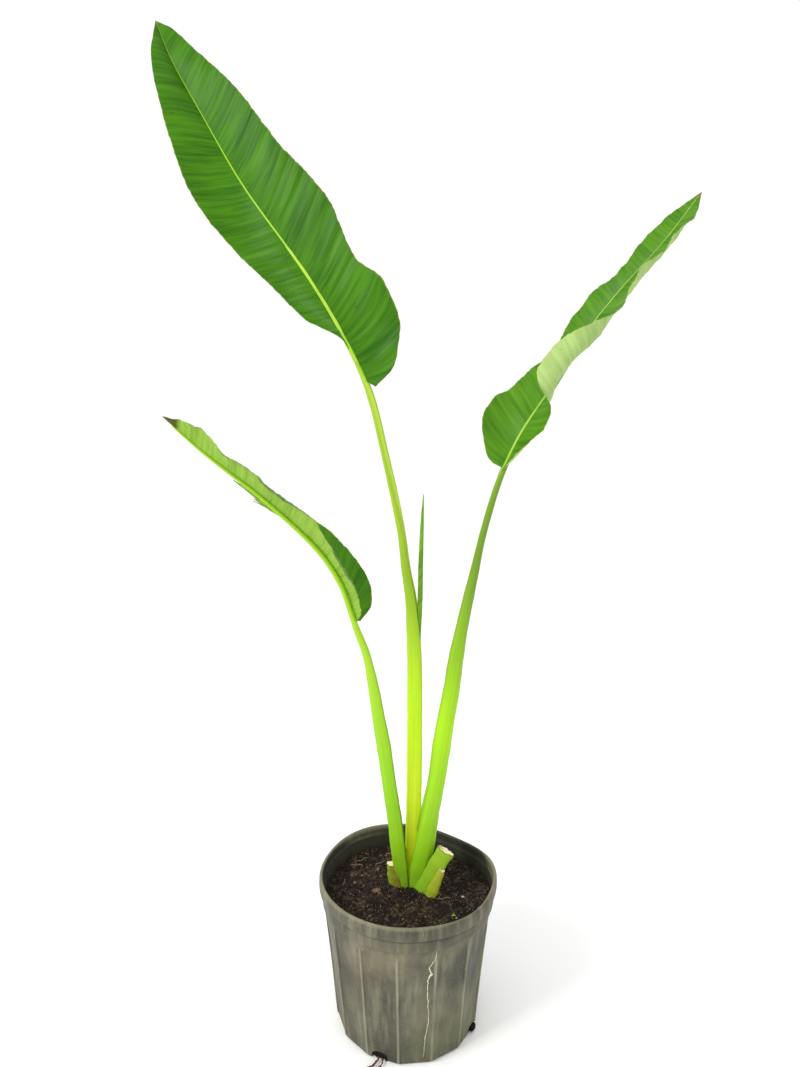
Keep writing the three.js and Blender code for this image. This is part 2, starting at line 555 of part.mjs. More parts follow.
// ---------------------------------------------------------------- the plant
const plant = new THREE.Group();
function add(name, geometry, color, roughness) {
  const material = new THREE.MeshStandardMaterial({ color, roughness, metalness: 0 });
  const mesh = new THREE.Mesh(geometry, material);
  mesh.name = name;
  plant.add(mesh);
}
const STALK = 0x9fbe4a;
const LEAF = 0x567d2e;
add('nursery_pot', fromSolid(can), 0x4a4a42, 0.6);
add('potting_soil', fromSolid(soil), 0x2b2320, 0.95);
add('leaf_tall_stalk', solids.leaf_tall_stalk, STALK, 0.45);
add('leaf_tall_blade', bladeGeometry(tallGrid), LEAF, 0.45);
add('leaf_right_stalk', solids.leaf_right_stalk, STALK, 0.45);
add('leaf_right_blade', bladeGeometry(rightGrid), LEAF, 0.45);
add('leaf_left_stalk', solids.leaf_left_stalk, STALK, 0.45);
add('leaf_left_blade', bladeGeometry(leftGrid), 0x7a9a48, 0.45);
add('spear_leaf', skin(stalkRings(spear, 14)), 0x6b9a35, 0.4);
add('stub_left', solids.stub_left, 0xa8b060, 0.6);
add('stub_right_long', solids.stub_right_long, 0xb9b870, 0.6);
add('stub_right_short', solids.stub_right_short, 0xa89a58, 0.7);
add('drain_root_long', small.drain_root_long, 0x6e3a26, 0.8);
add('drain_root_short', small.drain_root_short, 0x7a4630, 0.8);
add('drain_soil_clump', single(clump), 0x1d1815, 0.95);
add('bark_chip', single(chip), 0x5a4433, 0.9);
add('dry_rootlet', small.dry_rootlet, 0xb09a7a, 0.85);
add('weed_sprout', small.weed_sprout, 0x5f9a35, 0.5);

export default plant;
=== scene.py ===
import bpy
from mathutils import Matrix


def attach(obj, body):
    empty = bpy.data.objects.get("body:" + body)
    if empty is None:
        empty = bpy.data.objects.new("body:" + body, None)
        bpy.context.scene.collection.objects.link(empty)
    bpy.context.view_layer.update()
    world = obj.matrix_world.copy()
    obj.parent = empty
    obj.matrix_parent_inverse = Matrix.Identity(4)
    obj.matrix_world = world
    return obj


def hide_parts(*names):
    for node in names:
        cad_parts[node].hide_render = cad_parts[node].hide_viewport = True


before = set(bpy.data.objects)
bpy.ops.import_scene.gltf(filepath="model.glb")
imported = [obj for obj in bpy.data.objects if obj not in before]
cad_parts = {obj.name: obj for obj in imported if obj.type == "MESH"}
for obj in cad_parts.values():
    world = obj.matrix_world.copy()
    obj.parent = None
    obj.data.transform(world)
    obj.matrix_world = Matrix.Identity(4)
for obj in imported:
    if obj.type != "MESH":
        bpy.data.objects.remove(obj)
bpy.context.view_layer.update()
import math
import bmesh
import bpy
import numpy as np
from mathutils import Vector, noise

rng = np.random.default_rng(7)

# The plant stands on z = 0, -Y is its front. Shapes are worked out in millimetres.
MM = 0.001
PANELS, FIRST_RIB = 14, -97.3
BASE_R, TOP_R, LIP_R, BODY_TOP, HEIGHT = 104.0, 122.0, 130.0, 197.0, 238.0
SOIL_LEVEL = 206.0
RIB_HEIGHT, RIB_HALF = 1.8, 1.9          # the second in degrees round the can
DRAIN_ANGLES = (-113, -23, 67, 157)
RIGHT_DRAIN = DRAIN_ANGLES[1]            # the mouth that a clump of mix has pushed out of
SPLIT_ANGLE, SPLIT_DRIFT, SPLIT_TOP = -71.6, 12, 198
CHIP, SPROUT = (-46, -8), (63, -64)
FLOOR_DROP = 0.0006                      # metres


# ------------------------------------------------------------------ small maths
def smooth(a, b, x):
    t = np.clip((np.asarray(x, float) - a) / (b - a), 0, 1)
    return t * t * (3 - 2 * t)


def unit(v):
    return v / np.maximum(np.linalg.norm(v, axis=-1, keepdims=True), 1e-12)


def ease(rows, column):
    """A smooth curve of one value through rows (x, value, ...) that never overshoots."""
    x = np.array([r[0] for r in rows], float)
    y = np.array([r[column] for r in rows], float)
    s = np.diff(y) / np.diff(x)
    m = np.concatenate([[s[0]], np.zeros(len(s) - 1), [s[-1]]])
    for i in range(1, len(s)):
        if s[i - 1] * s[i] > 0:
            m[i] = 2 * s[i - 1] * s[i] / (s[i - 1] + s[i])

    def read(q):
        q = np.asarray(q, float)
        k = np.clip(np.searchsorted(x, q) - 1, 0, len(x) - 2)
        h = x[k + 1] - x[k]
        t = np.clip((q - x[k]) / h, 0, 1)
        return ((2 * t**3 - 3 * t**2 + 1) * y[k] + (t**3 - 2 * t**2 + t) * h * m[k]
                + (3 * t**2 - 2 * t**3) * y[k + 1] + (t**3 - t**2) * h * m[k + 1])
    return read


def spline(points, u):
    """Points on a smooth curve at fractions u of its length, and the length."""
    p = np.array([q[:3] for q in points], float)
    q = np.vstack([2 * p[0] - p[1], p, 2 * p[-1] - p[-2]])
    n = len(p)
    fine = np.linspace(0, n - 1, 80 * (n - 1) + 1)
    i = np.minimum(fine.astype(int), n - 2)
    t = (fine - i)[:, None]
    a, b, c, d = q[i], q[i + 1], q[i + 2], q[i + 3]
    line = 0.5 * (2 * b + (c - a) * t + (2 * a - 5 * b + 4 * c - d) * t**2 + (3 * b - a - 3 * c + d) * t**3)
    s = np.concatenate([[0], np.cumsum(np.linalg.norm(np.diff(line, axis=0), axis=1))])
    u = np.asarray(u, float) * s[-1]
    return np.stack([np.interp(u, s, line[:, k]) for k in range(3)], -1), s[-1]


def wobble(x, seed, waves):
    """A repeatable irregular wave of about unit height."""
    r = np.random.default_rng(seed)
    x = np.asarray(x, float)
    out = np.zeros_like(x)
    for f in waves:
        out = out + math.sqrt(1 / len(waves)) * np.sin(2 * np.pi * (f * x + r.random()))
    return out


# ------------------------------------------------------------------ meshes
def piece(name, verts, faces, material, nodes=(), attrs=None, sharp=None):
    mesh = bpy.data.meshes.new(name)
    mesh.from_pydata((np.asarray(verts) * MM).tolist(), [], [tuple(int(i) for i in f) for f in faces])
    mesh.validate()
    for key, values in (attrs or {}).items():
        a = mesh.attributes.new(key, "FLOAT", "POINT")
        a.data.foreach_set("value", np.asarray(values, np.float32).ravel())
    mesh.shade_smooth()
    if sharp:
        mesh.set_sharp_from_angle(angle=math.radians(sharp))
    mesh.materials.append(material)
    mesh.update()
    obj = bpy.data.objects.new(name, mesh)
    bpy.context.scene.collection.objects.link(obj)
    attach(obj, "root")
    if nodes:
        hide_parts(*nodes)
    return obj


def quads(rows, cols, wrap=True, base=0):
    i = np.arange(rows - 1)[:, None] * cols
    j = np.arange(cols if wrap else cols - 1)[None, :]
    k = (j + 1) % cols
    return (base + np.stack([i + j, i + k, i + cols + k, i + cols + j], -1)).reshape(-1, 4)


def tube_mesh(rings):
    """Rings (n, m, 3) skinned into one closed body."""
    n, m, _ = rings.shape
    verts = rings.reshape(-1, 3)
    faces = quads(n, m).tolist()
    verts = np.vstack([verts, rings[0].mean(0), rings[-1].mean(0)])
    a, b = n * m, n * m + 1
    faces += [(a, (j + 1) % m, j) for j in range(m)]
    faces += [(b, (n - 1) * m + j, (n - 1) * m + (j + 1) % m) for j in range(m)]
    return verts, faces


def round_tube(points, radius, sides=10, count=40, up=(0.3, 0.2, 1.0)):
    u = np.linspace(0, 1, count + 1)
    c, _ = spline(points, u)
    t = unit(np.gradient(c, axis=0))
    e = unit(np.array(up) - (t * np.array(up)).sum(1, keepdims=True) * t)
    f = np.cross(t, e)
    r = ease(radius, 1)(u)[:, None, None]
    q = np.arange(sides) / sides * 2 * np.pi
    return c[:, None] + r * (np.cos(q)[None, :, None] * e[:, None] + np.sin(q)[None, :, None] * f[:, None])


def merge(parts):
    """Joins (verts, faces, attrs) lists into one."""
    vs, fs, at, n = [], [], {}, 0
    for v, f, a in parts:
        vs.append(v)
        fs += [[i + n for i in face] for face in f]
        for k, x in a.items():
            at.setdefault(k, []).append(np.broadcast_to(np.asarray(x, float), len(v)))
        n += len(v)
    return np.vstack(vs), fs, {k: np.concatenate(x) for k, x in at.items()}


# ------------------------------------------------------------------ material helpers
class Mat:
    def __init__(self, name, **values):
        self.m = bpy.data.materials.new(name)
        self.m.use_nodes = True
        self.nt = self.m.node_tree
        self.p = self.nt.nodes["Principled BSDF"]
        for k, v in values.items():
            self.p.inputs[k.replace("_", " ")].default_value = v
        self.pos = self.add("ShaderNodeTexCoord").outputs["Object"]

    def add(self, kind, ins=None, **props):
        n = self.nt.nodes.new(kind)
        for k, v in props.items():
            setattr(n, k, v)
        for k, v in (ins or {}).items():
            if isinstance(v, bpy.types.NodeSocket):
                self.nt.links.new(v, n.inputs[k])
            else:
                n.inputs[k].default_value = v
        return n

    def attr(self, name):
        return self.add("ShaderNodeAttribute", attribute_name=name).outputs["Fac"]

    def math(self, op, a, b=0.0, c=0.0, clamp=False):
        return self.add("ShaderNodeMath", {0: a, 1: b, 2: c}, operation=op, use_clamp=clamp).outputs[0]

    def step(self, x, lo, hi, a=0.0, b=1.0):
        return self.add("ShaderNodeMapRange", {0: x, 1: lo, 2: hi, 3: a, 4: b},
                        interpolation_type="SMOOTHSTEP").outputs[0]

    def xyz(self):
        return self.add("ShaderNodeSeparateXYZ", {0: self.pos}).outputs

    def vec(self, x, y, z=0.0):
        return self.add("ShaderNodeCombineXYZ", {0: x, 1: y, 2: z}).outputs[0]

    def noise(self, scale, vector=None, detail=4.0, rough=0.55, stretch=None):
        v = vector or self.pos
        if stretch:
            v = self.add("ShaderNodeMapping", {"Vector": v, "Scale": stretch}).outputs[0]
        return self.add("ShaderNodeTexNoise", {"Vector": v, "Scale": scale, "Detail": detail,
                        "Roughness": rough}).outputs["Fac"]

    def mix(self, fac, a, b):
        n = self.add("ShaderNodeMix", data_type="RGBA")
        for i, v in ((0, fac), (6, a), (7, b)):
            if isinstance(v, bpy.types.NodeSocket):
                self.nt.links.new(v, n.inputs[i])
            else:
                n.inputs[i].default_value = v if i == 0 else (*v[:3], 1)
        return n.outputs[2]

    def ramp(self, fac, stops):
        n = self.add("ShaderNodeValToRGB", {0: fac})
        e = n.color_ramp.elements
        while len(e) < len(stops):
            e.new(0.5)
        for i, (at, col) in enumerate(stops):
            e[i].position = at
            e[i].color = (*col, 1)
        return n.outputs[0]

    def bump(self, height, distance, strength):
        return self.add("ShaderNodeBump", {"Height": height, "Distance": distance,
            "Strength": strength}).outputs[0]

    def done(self, color, rough=None, normal=None):
        self.nt.links.new(color, self.p.inputs["Base Color"])
        if rough is not None:
            self.nt.links.new(rough, self.p.inputs["Roughness"])
        if normal is not None:
            self.nt.links.new(normal, self.p.inputs["Normal"])
        return self.m


def srgb(r, g, b):
    return tuple(((c / 255 + 0.055) / 1.055) ** 2.4 if c > 10 else c / 255 / 12.92 for c in (r, g, b))


# ------------------------------------------------------------------ materials
def leaf_material(name, top_a, top_b, under_a, under_b, rib, tip_from=0.985, tip=(120, 100, 60)):
    """Upper and lower leaf skin: veins leave the midrib at a slant and run to the edge."""
    k = Mat(name, Specular_IOR_Level=0.1)
    lat, along, side, edge, u = (k.attr(a) for a in ("lat", "along", "side", "edge", "u"))
    a = k.math("ABSOLUTE", lat)
    waver = k.noise(22, detail=2)
    s = k.math("SUBTRACT", along, k.math("MULTIPLY", a, 0.42))
    s = k.math("ADD", s, k.math("MULTIPLY", waver, 5.0))
    half = k.math("SIGN", lat)
    veins = k.math("SINE", k.math("MULTIPLY", s, 2 * math.pi / 2.3))
    veins = k.math("MULTIPLY_ADD", veins, 0.5, 0.5)
    streak = k.noise(1.0, k.vec(k.math("MULTIPLY", s, 0.2), k.math("MULTIPLY", a, 0.012), half), detail=3)
    broad = k.noise(1.0, k.vec(k.math("MULTIPLY", s, 0.035), k.math("MULTIPLY", a, 0.01), half), detail=2)
    blotch = k.noise(14, detail=3)
    tone = k.math("ADD", k.math("MULTIPLY", streak, 0.55), k.math("MULTIPLY", broad, 0.45))
    upper = k.mix(k.step(tone, 0.3, 0.7), srgb(*top_a), srgb(*top_b))
    under = k.mix(k.step(tone, 0.3, 0.7), srgb(*under_a), srgb(*under_b))
    color = k.mix(side, upper, under)
    lines = k.step(veins, 0.55, 1.0, 0.0, 0.08)
    color = k.mix(lines, color, srgb(*rib))
    color = k.mix(k.step(blotch, 0.35, 0.75, 0.0, 0.22), color, k.mix(0.5, color, srgb(40, 70, 20)))
    # midrib line, thin dry margin, browned tip
    width = k.math("MULTIPLY_ADD", u, -1.5, 2.0)
    near = k.math("DIVIDE", a, width)
    color = k.mix(k.step(near, 0.5, 1.1, 0.9, 0.0), color, srgb(*rib))
    dry = k.noise(60, detail=3)
    rim = k.math("ADD", edge, k.math("MULTIPLY_ADD", dry, 0.03, -0.015))
    color = k.mix(k.step(rim, 0.975, 0.992, 0.0, 0.25), color, srgb(150, 146, 30))
    spots = k.noise(150, detail=1)
    color = k.mix(k.step(spots, 0.76, 0.8, 0.0, 0.7), color, srgb(66, 58, 22))
    end = k.math("ADD", u, k.math("MULTIPLY_ADD", dry, 0.03, -0.015))
    color = k.mix(k.step(end, tip_from, tip_from + 0.02, 0.0, 0.9), color, srgb(*tip))
    rough = k.math("ADD", k.math("MULTIPLY", streak, 0.18), k.math("MULTIPLY_ADD", side, 0.12, 0.30))
    h = k.math("ADD", k.math("MULTIPLY", veins, 0.35), streak)
    return k.done(color, rough, k.bump(h, 0.0006, 0.5))


def stalk_material(name, low, mid, high, z0, z1):
    """Fresh petiole: pale and yellowish at the foot, greener above, with fine long fibres."""
    k = Mat(name, Specular_IOR_Level=0.22)
    z = k.math("MULTIPLY", k.xyz()[2], 1000.0)
    round_, groove = k.attr("round"), k.attr("groove")
    fibre = k.noise(1.0, k.vec(k.math("MULTIPLY", round_, 9.0), k.math("MULTIPLY", z, 0.004)), detail=4)
    patch = k.noise(1.0, k.vec(k.math("MULTIPLY", round_, 2.0), k.math("MULTIPLY", z, 0.012)), detail=3)
    at = k.math("ADD", k.step(z, z0, z1), k.math("MULTIPLY_ADD", patch, 0.2, -0.1))
    color = k.ramp(at, [(0.0, srgb(*low)), (0.45, srgb(*mid)), (1.0, srgb(*high))])
    color = k.mix(k.step(fibre, 0.42, 0.75, 0.0, 0.4), color, k.mix(0.5, color, srgb(84, 136, 12)))
    # pale streaks along the fibres: a painted highlight
    color = k.mix(k.step(fibre, 0.2, 0.42, 0.2, 0.0), color, srgb(222, 250, 90))
    color = k.mix(k.math("MULTIPLY", groove, 0.18), color, srgb(232, 246, 110))
    speck = k.noise(420, detail=2, stretch=(1, 1, 0.25))
    color = k.mix(k.step(speck, 0.72, 0.8, 0.0, 0.35), color, srgb(120, 110, 30))
    # darker olive from z 240 down to 216, down inside the can mouth below the rim: painted shade
    foot_shade = k.math("ADD", z, k.math("MULTIPLY", patch, 30.0))
    color = k.mix(k.step(foot_shade, 216, 240, 0.6, 0.0), color, srgb(104, 122, 40))
    rough = k.math("MULTIPLY_ADD", fibre, 0.25, 0.28)
    return k.done(color, rough, k.bump(fibre, 0.0006, 0.45))


def can_material():
    """Weathered black nursery plastic under years of dust and dried splashes."""
    k = Mat("can_plastic", Specular_IOR_Level=0.35)
    x, y, z = k.xyz()
    zm = k.math("MULTIPLY", z, 1000.0)
    cloud = k.noise(11, detail=5, rough=0.6)
    runs = k.noise(60, detail=4, stretch=(1, 1, 0.12), rough=0.6)
    grit = k.noise(420, detail=3)
    moss = k.noise(7, detail=4)
    color = k.ramp(cloud, [(0.3, srgb(44, 44, 35)), (0.5, srgb(78, 77, 61)), (0.7, srgb(112, 108, 88))])
    color = k.mix(k.step(runs, 0.45, 0.7, 0.0, 0.45), color, srgb(140, 136, 114))
    color = k.mix(k.step(runs, 0.25, 0.45, 0.5, 0.0), color, srgb(44, 42, 32))
    turn = k.math("FRACT", k.math("MULTIPLY_ADD", k.math("ARCTAN2", y, x), PANELS / (2 * math.pi),
        10 - FIRST_RIB * PANELS / 360))
    crest = k.math("SUBTRACT", 0.5, k.math("ABSOLUTE", k.math("SUBTRACT", turn, 0.5)))
    # rib crests below z 180-190 painted lighter: dust along the ribs plus a painted highlight on each crest
    rib_dust_and_highlight = k.math("MULTIPLY", k.step(crest, 0.05, 0.02), k.step(zm, 190, 180))
    color = k.mix(k.math("MULTIPLY", rib_dust_and_highlight, k.step(runs, 0.3, 0.6, 0.1, 0.5)), color, srgb(160, 156, 134))
    color = k.mix(k.step(moss, 0.5, 0.72, 0.0, 0.5), color, srgb(84, 92, 50))
    color = k.mix(k.step(moss, 0.25, 0.45, 0.5, 0.0), color, srgb(96, 78, 54))
    color = k.mix(k.step(zm, 232, 237, 0.0, 0.4), color, srgb(142, 140, 112))
    color = k.mix(k.step(grit, 0.62, 0.75, 0.0, 0.45), color, srgb(168, 164, 146))
    r = k.math("SQRT", k.math("ADD", k.math("MULTIPLY", x, x), k.math("MULTIPLY", y, y)))
    inside = k.math("MULTIPLY", k.step(r, 0.1252, 0.1240), k.step(zm, 196, 200))
    color = k.mix(k.math("MULTIPLY", inside, 0.8), color, srgb(34, 35, 27))
    rough = k.math("MULTIPLY_ADD", cloud, 0.35, 0.38)
    return k.done(color, rough, k.bump(k.math("ADD", grit, k.math("MULTIPLY", runs, 0.6)), 0.0005, 0.35))


def soil_material():
    k = Mat("soil", Specular_IOR_Level=0.25)
    tone = k.attr("tone")
    crumb = k.noise(190, detail=6, rough=0.7)
    clod = k.noise(55, detail=4)
    base = k.ramp(k.math("ADD", k.math("MULTIPLY", crumb, 0.6), k.math("MULTIPLY", clod, 0.4)),
                  [(0.34, srgb(8, 5, 3)), (0.5, srgb(30, 22, 15)), (0.68, srgb(112, 92, 70))])
    bits = k.ramp(tone, [(0.0, srgb(20, 13, 9)), (0.45, srgb(48, 35, 25)), (0.62, srgb(104, 80, 58)),
                         (0.8, srgb(146, 118, 92)), (0.9, srgb(112, 106, 92)), (1.0, srgb(214, 204, 188))])
    color = k.mix(k.step(tone, 0.0, 0.02), base, bits)
    # soil darkened further where the crumb bump is low: painted shade between the crumbs
    color = k.mix(k.step(crumb, 0.35, 0.65, 0.45, 0.0), color, srgb(18, 14, 12))
    rough = k.math("MULTIPLY_ADD", crumb, 0.25, 0.72)
    return k.done(color, rough, k.bump(crumb, 0.002, 0.9))


def dry_material(name, a, b, c, scale=120, stretch=(1, 1, 0.2), bump=0.0006):
    """Dead fibre, bark and root: three tones broken up along the grain."""
    k = Mat(name, Specular_IOR_Level=0.3)
    g = k.noise(scale, detail=5, stretch=stretch, rough=0.62)
    f = k.noise(scale * 4, detail=3, stretch=stretch)
    color = k.ramp(g, [(0.3, srgb(*a)), (0.5, srgb(*b)), (0.72, srgb(*c))])
    color = k.mix(k.step(f, 0.5, 0.8, 0.0, 0.4), color, srgb(*a))
    return k.done(color, k.math("MULTIPLY_ADD", f, 0.3, 0.55), k.bump(k.math("ADD", g, f), bump, 0.6))


def stub_material(name, low, high, edge, back=0.3):
    """A cut stalk: skin along the sides, pale pith on the cut, dried dark lip."""
    k = Mat(name, Specular_IOR_Level=0.35)
    cut, up, side = k.attr("cut"), k.attr("up"), k.attr("round")
    fibre = k.noise(1.0, k.vec(k.math("MULTIPLY", side, 9.0), k.math("MULTIPLY", up, 1.2)), detail=4)
    skin = k.mix(k.math("ADD", up, k.math("MULTIPLY_ADD", fibre, 0.5, -0.25), clamp=True), srgb(*low),
                 srgb(*high))
    skin = k.mix(k.step(fibre, 0.5, 0.75, 0.0, 0.4), skin, srgb(*edge))
    skin = k.mix(k.step(side, -0.25, -0.9, 0.0, back), skin, srgb(128, 66, 34))
    lip = k.math("ADD", up, k.math("MULTIPLY_ADD", fibre, 0.04, -0.02))
    skin = k.mix(k.step(lip, 0.975, 0.995, 0.0, 0.7), skin, srgb(120, 84, 44))
    pores = k.noise(700, detail=3)
    pith = k.mix(k.step(pores, 0.4, 0.65), srgb(224, 214, 160), srgb(240, 236, 200))
    pith = k.mix(k.step(pores, 0.62, 0.8, 0.0, 0.6), pith, srgb(170, 146, 92))
    color = k.mix(k.step(cut, 0.5, 0.8), skin, pith)
    return k.done(color, k.math("MULTIPLY_ADD", fibre, 0.3, 0.45),
                  k.bump(k.math("ADD", fibre, pores), 0.0007, 0.6))


# ------------------------------------------------------------------ the can
def ang(a):
    return (np.asarray(a) + 180) % 360 - 180


def bend(theta, z):
    """Rim bent by handling: pushed in at the back right, low at the front right."""
    d = np.degrees(theta)

    def hump(centre, half):
        q = np.abs(ang(d - centre)) / half
        return np.where(q < 1, np.cos(np.clip(q, 0, 1) * np.pi / 2) ** 2, 0)
    k = smooth(120, 225, z)
    dr = k * (-7 * hump(52, 42) + 2 * hump(5, 30) + 1.5 * hump(120, 40))
    dz = k * (-3 * hump(50, 45) + 3 * hump(128, 45) - 4 * hump(-45, 40))
    return dr, dz


def plan(theta, z, radius):
    step = 2 * np.pi / PANELS
    local = ((theta - math.radians(FIRST_RIB)) / step) % 1 * step - step / 2
    flat = radius * np.cos(step / 2) / np.cos(local)
    k = smooth(120, 188, z)
    return flat * (1 - k) + radius * k


def outward(degrees):
    """Unit vectors away from the can's axis and along its wall."""
    t = math.radians(degrees)
    return np.array([math.cos(t), math.sin(t), 0]), np.array([-math.sin(t), math.cos(t), 0])


def rib_height(z):
    return RIB_HEIGHT * smooth(2, 8, z) * (1 - smooth(180, 190, z))


def body_r(z):
    return BASE_R + (TOP_R - BASE_R) * np.minimum(z, BODY_TOP) / BODY_TOP


def on_wall(degrees, z, lateral=0.0, proud=0.0):
    """A point on the can's outer wall."""
    th = math.radians(degrees)
    r = float(plan(th, z, body_r(z))) + proud
    th += lateral / r
    r = float(plan(th, z, body_r(z))) + proud
    return np.array([r * math.cos(th), r * math.sin(th), z])


def build_can(material):
    # stations round the can, closer together on the ribs
    local = np.concatenate([np.linspace(-RIB_HALF, RIB_HALF, 11), np.linspace(3.2, 22.5, 12)])
    theta = np.radians((FIRST_RIB + np.arange(PANELS)[:, None] * 360 / PANELS + local).ravel())
    offset = np.tile(local, PANELS)
    ridge = np.where(np.abs(offset) <= RIB_HALF, 1 - smooth(0.65, 1.55, np.abs(offset)), 0)
    rows = []          # (radius, z, panels, rib height)
    rows += [(r, 1.2, 0, 0) for r in (20, 40)] + [(r, 0.0, 0, 0) for r in (44, 60, 80)]
    rows += [(BASE_R - 3, 0.0, 1, 0), (BASE_R - 1.6, 0.25, 1, 0), (BASE_R - 0.6, 1.2, 1, 0)]
    for z in (2.6, 4.5, 7, 9, 12, 18, 28, 40, 54, 70, 86, 102, 118, 132, 146, 158, 168, 176, 181, 184, 187,
              190, 193):
        rows.append((body_r(z), float(z), 1, float(rib_height(z))))
    rows += [(TOP_R + out, z, 0, 0) for out, z in ((-0.2, 195.4), (0.4, 196.4), (2.0, 197.2))]
    # second band, rolled lip and the inside of the mouth
    rows += [(LIP_R + out, z, 0, 0) for out, z in ((-5.0, 197.9), (-4.5, 199.2), (-4.3, 204), (-4.2, 209),
        (-4.1, 213), (-4.5, 214.4), (-5.3, 215.2), (-5.2, 216.0), (-3.4, 216.6), (-1.6, 217.4), (-0.7, 219),
        (-0.2, 222), (0, 226), (-0.1, 230), (-0.3, 233.5), (-0.9, 236), (-1.8, 237.4), (-3, HEIGHT),
        (-4.2, 237.7), (-5.2, 236.6), (-5.7, 234.5), (-6.1, 229), (-6.3, 224), (-7.2, 222.8), (-7.6, 221),
        (-7.9, 216), (-8.4, 214), (-8.8, 212), (-8.9, 206), (-9.0, 200))]
    rows += [(body_r(z) - 2, float(z), 1, 0) for z in (190, 170, 120, 60, 12, 2.5)] + [(60, 2.5, 0, 0),
        (20, 2.5, 0, 0)]
    rings = []
    for r, z, panels, rib in rows:
        base = plan(theta, z, r) if panels else np.full(len(theta), float(r))
        # slow dents of a soft moulding
        soft = (0.35 * np.sin(3 * theta + 0.6) * smooth(20, 120, z)
                + 0.25 * np.sin(5 * theta + z / 60) * smooth(10, 80, z))
        dr, dz = bend(theta, z)
        rad = base + rib * ridge + dr + soft * (1 - smooth(222, 236, z) * 0.5) - 0.35 * smooth(20, 120, z)
        rings.append(np.stack([rad * np.cos(theta), rad * np.sin(theta), z + dz], -1))
    verts, faces = tube_mesh(np.array(rings))
    can = piece("nursery_can", verts, faces, material, ["nursery_pot"])
    # drain mouths: arched cuts through the corner of the base
    parts = []
    half, spring, rise, below = 12.0, 6, 8, -2.0
    q = np.linspace(0, np.pi, 13)
    arch = ([(-half, below)] + [(-half * np.cos(t), spring + rise * np.sin(t) ** 0.8) for t in q]
            + [(half, below)])
    for degrees in DRAIN_ANGLES:
        d, s = outward(degrees)
        rings2 = np.array([[d * r + s * p[0] + np.array([0, 0, p[1]]) for p in arch] for r in (88.0, 112.0)])
        v, f = tube_mesh(rings2)
        parts.append((v, f, {}))
    v, f, _ = merge(parts)
    mesh = bpy.data.meshes.new("cutter")
    mesh.from_pydata((v * MM).tolist(), [], [tuple(x) for x in f])
    cutter = bpy.data.objects.new("cutter", mesh)
    bpy.context.scene.collection.objects.link(cutter)
    recalc(cutter.data)
    recalc(can.data)
    mod = can.modifiers.new("drain", "BOOLEAN")
    mod.operation, mod.solver, mod.object = "DIFFERENCE", "EXACT", cutter
    bake(can)
    bpy.data.objects.remove(cutter)
    can.data.shade_smooth()
    can.data.set_sharp_from_angle(angle=math.radians(38))
    return can


def recalc(mesh):
    b = bmesh.new()
    b.from_mesh(mesh)
    bmesh.ops.recalc_face_normals(b, faces=b.faces)
    b.to_mesh(mesh)
    b.free()


def bake(obj):
    """Replaces an object's mesh by what its modifiers make of it."""
    done = bpy.data.meshes.new_from_object(obj.evaluated_get(bpy.context.evaluated_depsgraph_get()))
    obj.modifiers.clear()
    obj.data = done


def build_split(material):
    """A pale torn split that starts on one rib of the can and drifts off it further down."""
    line = [(198, 0, 0.5), (192, 0.4, 0.7), (185, 0.5, 0.9), (179, -1.5, 0.8), (173.5, -4.5, 1.0),
            (167, -7.2, 1.4), (161, -4.8, 3.0),
            (156, -3.0, 4.6), (151, -5.5, 2.6), (147, -6.9, 1.5), (132, -5.8, 1.0), (116, -4.4, 1.3),
            (110, -2.6, 1.4), (105, -2.8, 1.0),
            (90, -0.4, 0.8), (75, 1.0, 1.1), (60, 0.4, 0.7), (47, -0.8, 0.9), (30, -0.2, 0.6), (10, 0, 0.35)]
    z = np.linspace(SPLIT_TOP, 10, 190)
    rows = [(-a, b, c) for a, b, c in line]
    lat = np.interp(-z, [r[0] for r in rows], [r[1] for r in rows]) + 0.35 * wobble(z / 40, 3,
        (2.3, 5.1, 9.7))
    lat = lat - SPLIT_DRIFT * (1 - z / SPLIT_TOP)
    wid = np.interp(-z, [r[0] for r in rows], [r[2] for r in rows]) * (0.8
        + 0.25 * wobble(z / 40, 4, (3.7, 7.9)))
    rings = []
    for zi, l, w in zip(z, lat, wid):
        rib = float(rib_height(zi)) * (1 - smooth(0.9, 2.9, abs(l)))
        out = max(float(bend(np.array([math.radians(SPLIT_ANGLE)]), zi)[0][0]), -5)
        up = [on_wall(SPLIT_ANGLE, zi, l + w * k / 2, rib + out + h) for k,
              h in ((-1, -0.9), (-1, 0.12), (0, 0.5), (1, 0.12), (1, -0.9))]
        rings.append(up)
    v, f = tube_mesh(np.array(rings))
    return piece("can_split", v, f, material)


# ------------------------------------------------------------------ stalks
def section(c, t, opening, a, b, groove, bow=30, inner=22):
    """Rings of a sheathing stalk: an outer bow and a hollowed inside that faces `opening`."""
    e = unit(opening - (opening * t).sum(1, keepdims=True) * t)
    f = np.cross(t, e)
    reach = np.radians(150 + (128 - 150) * groove)[:, None]
    q = reach * np.linspace(-1, 1, bow)[None, :]
    ou, ov = -b[:, None] * np.cos(q), a[:, None] * np.sin(q)
    tip_e, tip_f = ou[:, -1:], ov[:, -1:]
    wall = 2.6
    deep = np.maximum(groove[:, None] * (tip_e + b[:, None] - wall), 0.0)
    s = 1 - 2 * np.arange(1, inner + 1) / (inner + 1)
    s = s[None, :]
    narrow = 1 + (0.8 - 1) * groove[:, None] * (1 - np.abs(s) ** 5)
    iu = tip_e - deep * (1 - np.abs(s) ** 3) + 0.3 * (1 - groove[:, None]) * (1 - s**2)
    iv = tip_f * s * narrow
    U, W = np.hstack([ou, iu]), np.hstack([ov, iv])
    rings = c[:, None] + U[..., None] * e[:, None] + W[..., None] * f[:, None]
    side = np.concatenate([np.linspace(-1, 1, bow), s[0]])
    hollow = np.concatenate([np.zeros(bow), np.ones(inner)])
    return rings, side, hollow


